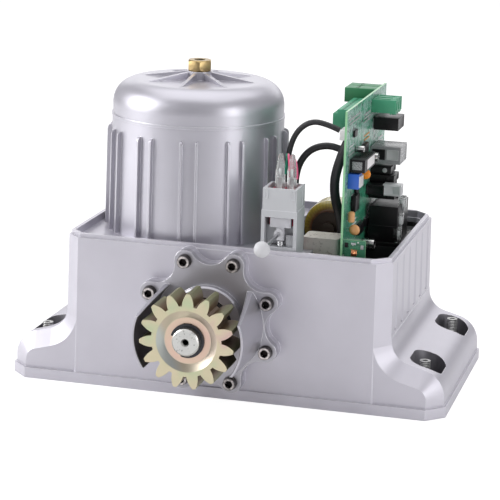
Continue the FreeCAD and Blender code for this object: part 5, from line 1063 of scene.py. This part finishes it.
def make_bead():
    """The tan bead on two legs."""
    low, high = box("board_resistor")
    centre = halfway(low, high)
    deep = high.x - low.x
    radius = min(high.y - low.y, deep - 1) / 2
    bead = rod((high.x - radius, centre.y, centre.z), Z, radius, high.z - low.z, 24)
    parts = [coat(soften(bead, radius * 0.55, 4), "tan")]
    for z in (low.z + 1.2, high.z - 1.2):
        parts.append(coat(rod((low.x + deep * 0.3, centre.y, z), X, 0.35, deep * 0.6, 10), "tin"))
    present("front_bead", parts, stands_for=["board_resistor"])


def make_discs():
    """The two lacquered discs, each on two legs."""
    low, high = box("disc_capacitors")
    board = box("control_board")[1].x
    radius, thick = 4, 3.5
    x = high.x - radius
    parts = []
    for y, z, finish in (
        (high.y - thick / 2, high.z - radius, "orange"), (low.y + thick / 2, low.z + radius, "tan"),
    ):
        at_rest()
        bpy.ops.mesh.primitive_uv_sphere_add(
            segments=28, ring_count=16, radius=radius * MM, location=metres((x, y, z)),
        )
        disc = bpy.context.object
        disc.scale = (1, thick / 2 / radius, 1)
        parts.append(coat(settle(disc), finish))
        for offset in (-1.2, 1.2):
            parts.append(coat(rod(((board + x) / 2, y, z + offset), X, 0.3, x - board, 10), "tin"))
    present("lacquered_discs", parts, stands_for=["disc_capacitors"])


def chip(low, high, pins):
    """A moulded chip that faces right: body, first-pin dimple and two rows of legs."""
    wide, tall = high.y - low.y, high.z - low.z
    case = bit((low.x + 0.4, low.y, low.z), high, "black", 0.18)
    cut(case, rod((high.x, low.y + wide * 0.15, high.z - tall * 0.2), X, 0.5, 0.3, 16))
    parts = [case]
    step = wide / pins
    for z in (low.z, high.z + 0.4):
        near, far = (low.x, low.y + step * 0.3, z - 0.7), (low.x + 0.7, low.y + step * 0.6, z + 0.3)
        leg = bit(near, far, "tin", 0.06, 1)
        parts.append(repeat(leg, (0, step, 0), pins))
    return parts


def make_driver_stack():
    """Four stacked black cases with round buttons, on a spine."""
    low, high = box("driver_chips")
    levels = ((1, 0, 2), (0.86, 2, 0), (0.95, 1, 3), (0.8, 3, 1))
    tall = (high.z - low.z) / len(levels)
    parts = []
    for i, (share, near, far) in enumerate(levels):
        reach = (high.x - low.x) * share
        foot = low.z + i * tall
        case = block((low.x, low.y + near, foot + 0.3), (low.x + reach, high.y - far, foot + tall - 0.3))
        inset(case, facing(X), 1.0, 0.6)
        parts.append(coat(soften(case, 0.4), "black"))
        knob = rod((low.x + reach * 0.7, low.y + near + 0.2, foot + tall / 2), Y, tall * 0.3, 0.8, 20)
        parts.append(coat(soften(knob, 0.2), "grey" if i % 2 else "black"))
    parts.append(bit((low.x, low.y + 4, low.z), (low.x + 3, high.y - 4, high.z), "black", 0.4))
    present("driver_stack", parts, stands_for=["driver_chips"])


def make_chips():
    """The black parts on the board's right face: stacked drivers, a two-part connector and a chip."""
    make_driver_stack()

    low, high = box("side_connector")
    seam = low.x + (high.x - low.x) * 0.52
    socket = block(low, (seam, high.y, high.z - 0.8))
    inset(socket, facing(-Y), 1.2, 0.8)
    plug = block((seam - 1, low.y + 0.4, low.z + 0.5), high)
    slices(plug, 2)
    inset(plug, facing(X), 1.1)
    inset(plug, between(X, low.z + 2.5, high.z - 2.5), 0.4, 6)
    inset(plug, facing(-Y), 1.4, 0.7)
    parts = [coat(rounded(socket), "black"), coat(rounded(plug), "frosted")]
    present("grey_connector", parts, stands_for=["side_connector"])

    present("front_chip", chip(*box("near_chips"), 7), stands_for=["near_chips"])


def make_board_fittings():
    """Small parts soldered over both faces of the control board."""
    low, high = box("control_board")
    right, left = high.x, low.x
    parts = []
    for y, z, long_, tall, deep, pins in CHIPS:
        parts += chip(Point(right, y, z), Point(right + deep, y + long_, z + tall), pins)
    present("board_chips", parts)

    parts = []
    for y, z, radius, tall in CANS:
        can = rod((right + tall / 2, y, z), X, radius, tall)
        inset(can, facing(X), radius * 0.2, 0.15)
        band = rod((right + tall * 0.12, y, z), X, radius * 1.04, 0.5)
        parts += [coat(soften(can, 0.25), "zinc"), coat(soften(band, 0.15), "black")]
    present("board_cans", parts)

    parts = []
    for i, (y, z, columns, rows, step) in enumerate(GRIDS):
        finish = ("tan", "tin", "grey", "white")[i % 4]
        part = bit((right, y, z), (right + 0.7, y + step * 0.55, z + step * 0.35), finish, 0.1, 1)
        parts.append(repeat(repeat(part, (0, step, 0), columns), (0, 0, step), rows))
    present("board_chip_parts", parts)

    parts = []
    for y, z, columns, rows, step in JOINTS:
        at_rest()
        bpy.ops.mesh.primitive_ico_sphere_add(
            subdivisions=2, radius=0.75 * MM, location=metres((left, y, z)),
        )
        bead = bpy.context.object
        bead.scale = (1.1, 1, 1)
        cut(settle(bead), block((left, y - 2, z - 2), (left + 3, y + 2, z + 2)))
        repeat(repeat(bead, (0, step, 0), columns), (0, 0, step * 3), rows)
        parts.append(coat(bead, "tin"))
    present("solder_joints", parts)


# Chips on the board's right face: front edge along Y, lower edge, length, height, depth, legs.
CHIPS = [
    (-40, 150, 9, 7, 2.2, 6), (-58, 104, 12, 6, 2.0, 7), (-30, 118, 18, 8, 3.4, 10),
    (0, 118, 11, 6, 2.2, 6), (28, 112, 12, 7, 2.4, 7), (-20, 178, 14, 7, 3.2, 8), (-52, 196, 10, 5, 1.8, 6),
]
# Round capacitors: place along Y, height, radius, how far they stand off.
CANS = [
    (-38, 172, 3.2, 8), (3, 172, 3.4, 9), (-42, 186, 2.4, 7), (-3, 106, 4, 10), (52, 120, 5, 14),
    (46, 150, 4, 12),
]
# Rows of small parts: first place along Y, height, columns, rows, step.
GRIDS = [
    (-66, 114, 5, 2, 3.2), (-64, 184, 6, 3, 3.0), (-14, 200, 8, 3, 2.8), (-46, 128, 6, 2, 3.0),
    (-10, 186, 6, 2, 3.1), (12, 124, 7, 2, 3.2), (-66, 207, 12, 2, 3.1), (42, 168, 6, 4, 3.3),
]
# Solder joints on the left face: first place along Y, height, columns, rows, step.
JOINTS = [
    (-60, 112, 9, 4, 5), (-58, 176, 5, 2, 5), (-14, 108, 8, 7, 5), (30, 112, 7, 6, 5), (38, 196, 4, 1, 5),
]
# Parts on the little board: place from the coil's middle along X and Z, width, height, finish.
LITTLE_PARTS = [
    (-6.2, 8, 2.4, 3.4, "black"), (-5.6, -2, 3.2, 2.0, "tin"), (5.4, 7, 2, 3, "grey"),
    (5.2, -4, 3, 5, "black"), (0.2, -7.5, 5, 2.4, "tan"), (-1, 9.2, 3.4, 1.6, "tin"),
]


def make_daughter_board():
    """The copper coil and small parts on the little board beside the tub's front wall."""
    low, high = box("daughter_board")
    face = low.y
    across, up = (low.x + high.x) / 2 + 0.6, low.z + (high.z - low.z) * 0.64
    radius, wire, long_ = 2.3, 0.42, 4.2
    steps, turns = 10, 4
    points = []
    for i in range(steps * turns + 1):
        angle = 2 * math.pi * i / steps
        points.append((
            across - long_ / 2 + long_ * i / (steps * turns),
            face - radius - wire + radius * math.sin(angle) * 0.96, up + radius * math.cos(angle),
        ))
    parts = [strand(points, wire, "copper")]
    for x, z, wide, tall, finish in LITTLE_PARTS:
        x, z = across + x, up + z - 3
        parts.append(bit(
            (x - wide / 2, face - 1.0, z - tall / 2), (x + wide / 2, face, z + tall / 2), finish, 0.15,
        ))
    present("daughter_coil", parts)


def make_power_module():
    """The potted module with its ribbed flange, and clear-sleeved spade terminals on its right."""
    low, high = box("power_module")
    top = low.z + 3
    flange = block(low, (high.x, high.y, top))
    inset(flange, facing(Z), 1.2, 0.4)
    body = moved(low, high, (0.5, 3, 2), (-3, -3, 0))
    inset(body, facing(Z), 1.6, 1.2)
    rib = block((low.x + 0.3, low.y + 2.7, low.z + 14), (high.x - 2.8, high.y - 2.7, low.z + 15.2))
    inset(rib, facing(Z), 0.4)
    parts = [coat(soften(piece, 0.5, 3), "black") for piece in (flange, body, rib)]
    for x in (low.x + 3.4, high.x - 3):
        parts.append(screw_head((x, low.y + 1.6, top - 0.4), Z, 1.4, 1.2, "zinc", X))
    present("potted_module", parts, stands_for=["power_module"])

    parts = []
    for y, z in ((low.y + 8, high.z - 14), (low.y + 18, high.z - 3), (low.y + 3, high.z - 24)):
        sleeve = block((high.x - 6, y, z), (high.x, y + 4, z + 9))
        inset(sleeve, facing(Z), 0.7, 2)
        parts.append(coat(soften(sleeve, 0.9, 3), "clear"))
        parts.append(bit((high.x - 5, y + 1.6, z - 3), (high.x - 1, y + 2.4, z + 6), "tin", 0.15))
    present("module_sleeves", parts)


# The back of the switch frame's window, along Y.
WINDOW_BACK = -73.9


def make_switch_clips():
    """Clips, slits and rear cover of the limit switch, and two plates in its window."""
    low, high = box("limit_switch_box")
    window, _ = box("limit_switch_frame")
    parts = []
    for x in (low.x + 2.6, high.x - 2.6):
        clip = block((x - 1.5, low.y - 0.45, high.z - 8), (x + 1.5, low.y + 0.3, high.z - 0.6))
        inset(clip, facing(-Y), 0.5, 0.3)
        parts.append(clip)
    for z in (high.z - 0.9, low.z + 0.8):
        parts.append(block((low.x + 0.4, high.y - 0.4, z - 0.5), (high.x - 0.4, high.y + 0.3, z + 0.5)))
    parts += [
        block((high.x - 0.4, high.y - 7, low.z + 2), (high.x + 0.5, high.y - 0.6, high.z + 0.4)),
        block((window.x + 2.5, WINDOW_BACK, window.z + 8), (high.x - 1.9, WINDOW_BACK + 0.4, low.z - 12.6)),
        block(
            (high.x - 8, WINDOW_BACK - 4.5, window.z + 7.6), (high.x - 2.2, WINDOW_BACK - 0.3, window.z + 16),
        ),
    ]
    for piece in parts:
        coat(soften(piece, 0.14), "switch")
    present("switch_clips", parts)


def terminal_sleeve(low, high, x):
    """A clear sleeve that narrows in two steps, about a blade and its crimp."""
    y = (low.y + high.y) / 2
    sleeve = block((x - 3.3, low.y, low.z), (x + 3.3, high.y, low.z + 14))
    pick(sleeve, facing(Z))
    for top, last, shrink in ((low.z + 20, low.z + 14, (0.72, 0.8, 1)), (high.z, low.z + 20, (0.62, 0.7, 1))):
        bpy.ops.mesh.extrude_region_move(TRANSFORM_OT_translate={"value": (0, 0, (top - last) * MM)})
        bpy.ops.transform.resize(value=shrink, center_override=(x * MM, y * MM, top * MM))
    bpy.ops.object.mode_set(mode="OBJECT")
    coat(soften(sleeve, 0.8, 3, 20), "clear")
    blade = block((x - 2.2, y - 0.4, low.z - 1), (x + 2.2, y + 0.4, low.z + 9))
    inset(blade, facing(-Y), 0.7, 0.25)
    crimp = rod((x, y, low.z + 12), Z, 1.15, 6, 16)
    return sleeve, [coat(soften(blade, 0.12), "tin"), coat(soften(crimp, 0.3), "tin")]


# Wires of the switches: finish, where they start between the terminals' left and right edge, and
# points from there, from the terminals' middle along Y and from their foot.
SWITCH_WIRES = [
    ("green_wire", 0.5, [
        (-0.4, -0.5, 11), (-0.5, -0.4, 18), (0.4, 0.8, 24), (-1.5, 5, 25.5), (-3, 12, 20), (-4, 20, 8),
    ]),
    ("pink_wire", 0.5, [
        (2.6, -1.6, 14), (2.4, -1.5, 19), (1.4, -0.5, 24.5), (0.2, 4, 25.5), (-1.5, 12, 21), (-2, 20, 9),
    ]),
    ("pink_wire", 1, [
        (-0.6, 0.4, 8), (-0.7, 0.6, 14), (-2.4, 2.6, 20), (-5, 8, 22), (-8, 16, 14), (-9, 22, 4),
    ]),
]


def make_switch_details():
    """The limit switch's clips, and the sleeves with their wires."""
    make_switch_clips()
    low, high = box("switch_terminals")
    wide = high.x - low.x
    sleeves, wires = [], []
    for share in (0.25, 0.75):
        sleeve, metal = terminal_sleeve(low, high, low.x + wide * share)
        sleeves.append(sleeve)
        wires += metal
    for finish, share, points in SWITCH_WIRES:
        start = Vector((low.x + wide * share, (low.y + high.y) / 2, low.z))
        wires.append(strand([start + Vector(point) for point in points], size("switch_wire"), finish))
    present("terminal_sleeves", sleeves, stands_for=["switch_terminals"])
    present("switch_wires", wires)


# ------------------------------------------------------------------------------ stage
def area_lamp(name, place, target, size, power):
    """A soft rectangular lamp aimed at a point."""
    lamp = bpy.data.lights.new(name, "AREA")
    lamp.shape = "RECTANGLE"
    lamp.size, lamp.size_y = size
    lamp.energy = power
    holder = bpy.data.objects.new(name, lamp)
    bpy.context.scene.collection.objects.link(holder)
    holder.location = place
    holder.rotation_euler = (Vector(target) - Vector(place)).to_track_quat("-Z", "Y").to_euler()


def make_stage():
    """Camera, soft light, and a pale floor that keeps the shadow."""
    scene = bpy.context.scene
    scene.view_settings.view_transform = "Standard"
    target = Vector((19.8, -90.3, 114.8)) * MM
    azimuth, elevation, roll = math.radians(14.67), math.radians(13.85), math.radians(1.62)
    level = math.cos(elevation)
    back = Vector((math.sin(azimuth) * level, -math.cos(azimuth) * level, math.sin(elevation)))
    data = bpy.data.cameras.new("camera")
    data.lens = sizes().lens
    data.sensor_width = 36
    data.clip_start, data.clip_end = 0.05, 50
    camera = bpy.data.objects.new("camera", data)
    scene.collection.objects.link(camera)
    camera.location = target + back * sizes().camera_far
    aim = (-back).to_track_quat("-Z", "Y").to_matrix().to_4x4()
    camera.matrix_world = Matrix.Translation(camera.location) @ aim @ Matrix.Rotation(roll, 4, "Z")
    scene.camera = camera

    world = bpy.data.worlds.new("studio")
    world.use_nodes = True
    tree = world.node_tree
    tree.nodes.clear()
    path = tree.nodes.new("ShaderNodeLightPath")
    seen = tree.nodes.new("ShaderNodeMath")
    seen.operation = "MAXIMUM"
    blend = tree.nodes.new("ShaderNodeMixShader")
    output = tree.nodes.new("ShaderNodeOutputWorld")
    joins = [
        (path.outputs["Is Camera Ray"], seen.inputs[0]),
        (path.outputs["Is Transmission Ray"], seen.inputs[1]),
        (seen.outputs[0], blend.inputs[0]), (blend.outputs[0], output.inputs["Surface"]),
    ]
    # A soft light for the piece, and plain white where the camera sees past it.
    for i, (tint, strength) in enumerate((((0.97, 0.96, 1.0, 1), 0.40), ((1, 1, 1, 1), 1.0))):
        light = tree.nodes.new("ShaderNodeBackground")
        light.inputs["Color"].default_value = tint
        light.inputs["Strength"].default_value = strength
        joins.append((light.outputs[0], blend.inputs[i + 1]))
    for source, target_socket in joins:
        tree.links.new(source, target_socket)
    scene.world = world

    area_lamp("left", (-1.5, -0.55, 0.75), (0, 0, 0.12), (1.2, 1.2), 24)
    area_lamp("top", (0.0, 0.3, 1.9), (0, 0, 0.1), (2.4, 2.4), 26)
    area_lamp("right", (1.35, -0.75, 0.45), (0, 0, 0.12), (0.4, 1.0), 7)
    area_lamp("back", (-0.3, 2.2, 0.85), (0, 0, 0.15), (2.6, 0.8), 9)

    at_rest()
    bpy.ops.mesh.primitive_plane_add(size=12, location=(0, 0, 0))
    floor = bpy.context.object
    floor.name = "floor"
    finish = Finish("floor", (0.9, 0.9, 0.9), 0.0, 0.8)
    glow = finish.node("Emission", None, Color=(1, 1, 1, 1), Strength=1.2)
    path = finish.node("LightPath")
    seen = finish.math("MAXIMUM", finish.out(path, "Is Camera Ray"), finish.out(path, "Is Transmission Ray"))
    share = finish.node("MixShader", None, i0=seen * 0.75)
    finish.tree.links.new(finish.shader.outputs[0], share.inputs[1])
    finish.tree.links.new(glow.outputs[0], share.inputs[2])
    finish.tree.links.new(share.outputs[0], finish.output.inputs["Surface"])
    floor.data.materials.append(finish.material)


# ------------------------------------------------------------------------------ operators
class GATE_MOTOR_OT_stage(bpy.types.Operator):
    """Camera, lights and floor"""

    bl_idname = "gate_motor.stage"
    bl_label = "Stage"

    def execute(self, context):
        make_stage()
        return {"FINISHED"}


class GATE_MOTOR_OT_finishes(bpy.types.Operator):
    """Finishes of the castings, shafts and other solid pieces"""

    bl_idname = "gate_motor.finishes"
    bl_label = "Finishes"

    def execute(self, context):
        make_finishes()
        return {"FINISHED"}


class GATE_MOTOR_OT_leads(bpy.types.Operator):
    """The sheathed leads"""

    bl_idname = "gate_motor.leads"
    bl_label = "Leads"

    def execute(self, context):
        make_leads()
        return {"FINISHED"}


class GATE_MOTOR_OT_cap_nut(bpy.types.Operator):
    """The chamfered nut on the end cap"""

    bl_idname = "gate_motor.cap_nut"
    bl_label = "Cap nut"

    def execute(self, context):
        make_cap_nut()
        return {"FINISHED"}


class GATE_MOTOR_OT_spring(bpy.types.Operator):
    """The coil under the limit switch lever"""

    bl_idname = "gate_motor.spring"
    bl_label = "Lever spring"

    def execute(self, context):
        make_spring()
        return {"FINISHED"}


class GATE_MOTOR_OT_terminals(bpy.types.Operator):
    """Screw terminals at the board's top"""

    bl_idname = "gate_motor.terminals"
    bl_label = "Terminals"

    def execute(self, context):
        make_terminals()
        return {"FINISHED"}


class GATE_MOTOR_OT_plug_strip(bpy.types.Operator):
    """Plug-in terminal strip with its header"""

    bl_idname = "gate_motor.plug_strip"
    bl_label = "Plug-in strip"

    def execute(self, context):
        make_plug_strip()
        return {"FINISHED"}


class GATE_MOTOR_OT_connector(bpy.types.Operator):
    """White lead connector"""

    bl_idname = "gate_motor.connector"
    bl_label = "Connector"

    def execute(self, context):
        make_white_connector()
        return {"FINISHED"}


class GATE_MOTOR_OT_relays(bpy.types.Operator):
    """Cased parts at the board's right"""

    bl_idname = "gate_motor.relays"
    bl_label = "Relays"

    def execute(self, context):
        make_relays()
        return {"FINISHED"}


class GATE_MOTOR_OT_small_parts(bpy.types.Operator):
    """Blue block, bead and discs"""

    bl_idname = "gate_motor.small_parts"
    bl_label = "Small parts"

    def execute(self, context):
        make_blue_block()
        make_bead()
        make_discs()
        return {"FINISHED"}


class GATE_MOTOR_OT_chips(bpy.types.Operator):
    """Driver stack, side connector and front chip"""

    bl_idname = "gate_motor.chips"
    bl_label = "Chips"

    def execute(self, context):
        make_chips()
        return {"FINISHED"}


class GATE_MOTOR_OT_board_fittings(bpy.types.Operator):
    """Small soldered parts and joints"""

    bl_idname = "gate_motor.board_fittings"
    bl_label = "Board fittings"

    def execute(self, context):
        make_board_fittings()
        return {"FINISHED"}


class GATE_MOTOR_OT_daughter_board(bpy.types.Operator):
    """Coil and small parts"""

    bl_idname = "gate_motor.daughter_board"
    bl_label = "Daughter board"

    def execute(self, context):
        make_daughter_board()
        return {"FINISHED"}


class GATE_MOTOR_OT_power_module(bpy.types.Operator):
    """Potted module and its sleeves"""

    bl_idname = "gate_motor.power_module"
    bl_label = "Power module"

    def execute(self, context):
        make_power_module()
        return {"FINISHED"}


class GATE_MOTOR_OT_switch_details(bpy.types.Operator):
    """Clips, sleeves and wires"""

    bl_idname = "gate_motor.switch_details"
    bl_label = "Limit switch"

    def execute(self, context):
        make_switch_details()
        return {"FINISHED"}


OPERATORS = [
    GATE_MOTOR_OT_stage,
    GATE_MOTOR_OT_finishes,
    GATE_MOTOR_OT_leads,
    GATE_MOTOR_OT_cap_nut,
    GATE_MOTOR_OT_spring,
    GATE_MOTOR_OT_terminals,
    GATE_MOTOR_OT_plug_strip,
    GATE_MOTOR_OT_connector,
    GATE_MOTOR_OT_relays,
    GATE_MOTOR_OT_small_parts,
    GATE_MOTOR_OT_chips,
    GATE_MOTOR_OT_board_fittings,
    GATE_MOTOR_OT_daughter_board,
    GATE_MOTOR_OT_power_module,
    GATE_MOTOR_OT_switch_details,
]


class GATE_MOTOR_PT_panel(bpy.types.Panel):
    """Lists the motor's pieces, sizes and colours."""

    bl_idname = "GATE_MOTOR_PT_panel"
    bl_label = "Gate motor"
    bl_space_type = "VIEW_3D"
    bl_region_type = "UI"
    bl_category = "Gate motor"

    def draw(self, context):
        for operator in OPERATORS:
            self.layout.operator(operator.bl_idname)
        for group in (context.scene.gate_motor_sizes, context.scene.gate_motor_colours):
            for name in group.__annotations__:
                self.layout.prop(group, name)


CLASSES = [GateMotorSizes, GateMotorColours, *OPERATORS, GATE_MOTOR_PT_panel]


def register():
    for item in CLASSES:
        bpy.utils.register_class(item)
    bpy.types.Scene.gate_motor_sizes = PointerProperty(type=GateMotorSizes)
    bpy.types.Scene.gate_motor_colours = PointerProperty(type=GateMotorColours)


def unregister():
    del bpy.types.Scene.gate_motor_colours
    del bpy.types.Scene.gate_motor_sizes
    for item in reversed(CLASSES):
        bpy.utils.unregister_class(item)


def main():
    register()
    bpy.ops.gate_motor.stage()
    bpy.ops.gate_motor.finishes()
    bpy.ops.gate_motor.leads()
    bpy.ops.gate_motor.cap_nut()
    bpy.ops.gate_motor.spring()
    bpy.ops.gate_motor.terminals()
    bpy.ops.gate_motor.plug_strip()
    bpy.ops.gate_motor.connector()
    bpy.ops.gate_motor.relays()
    bpy.ops.gate_motor.small_parts()
    bpy.ops.gate_motor.chips()
    bpy.ops.gate_motor.board_fittings()
    bpy.ops.gate_motor.daughter_board()
    bpy.ops.gate_motor.power_module()
    bpy.ops.gate_motor.switch_details()


if __name__ == "__main__":
    main()
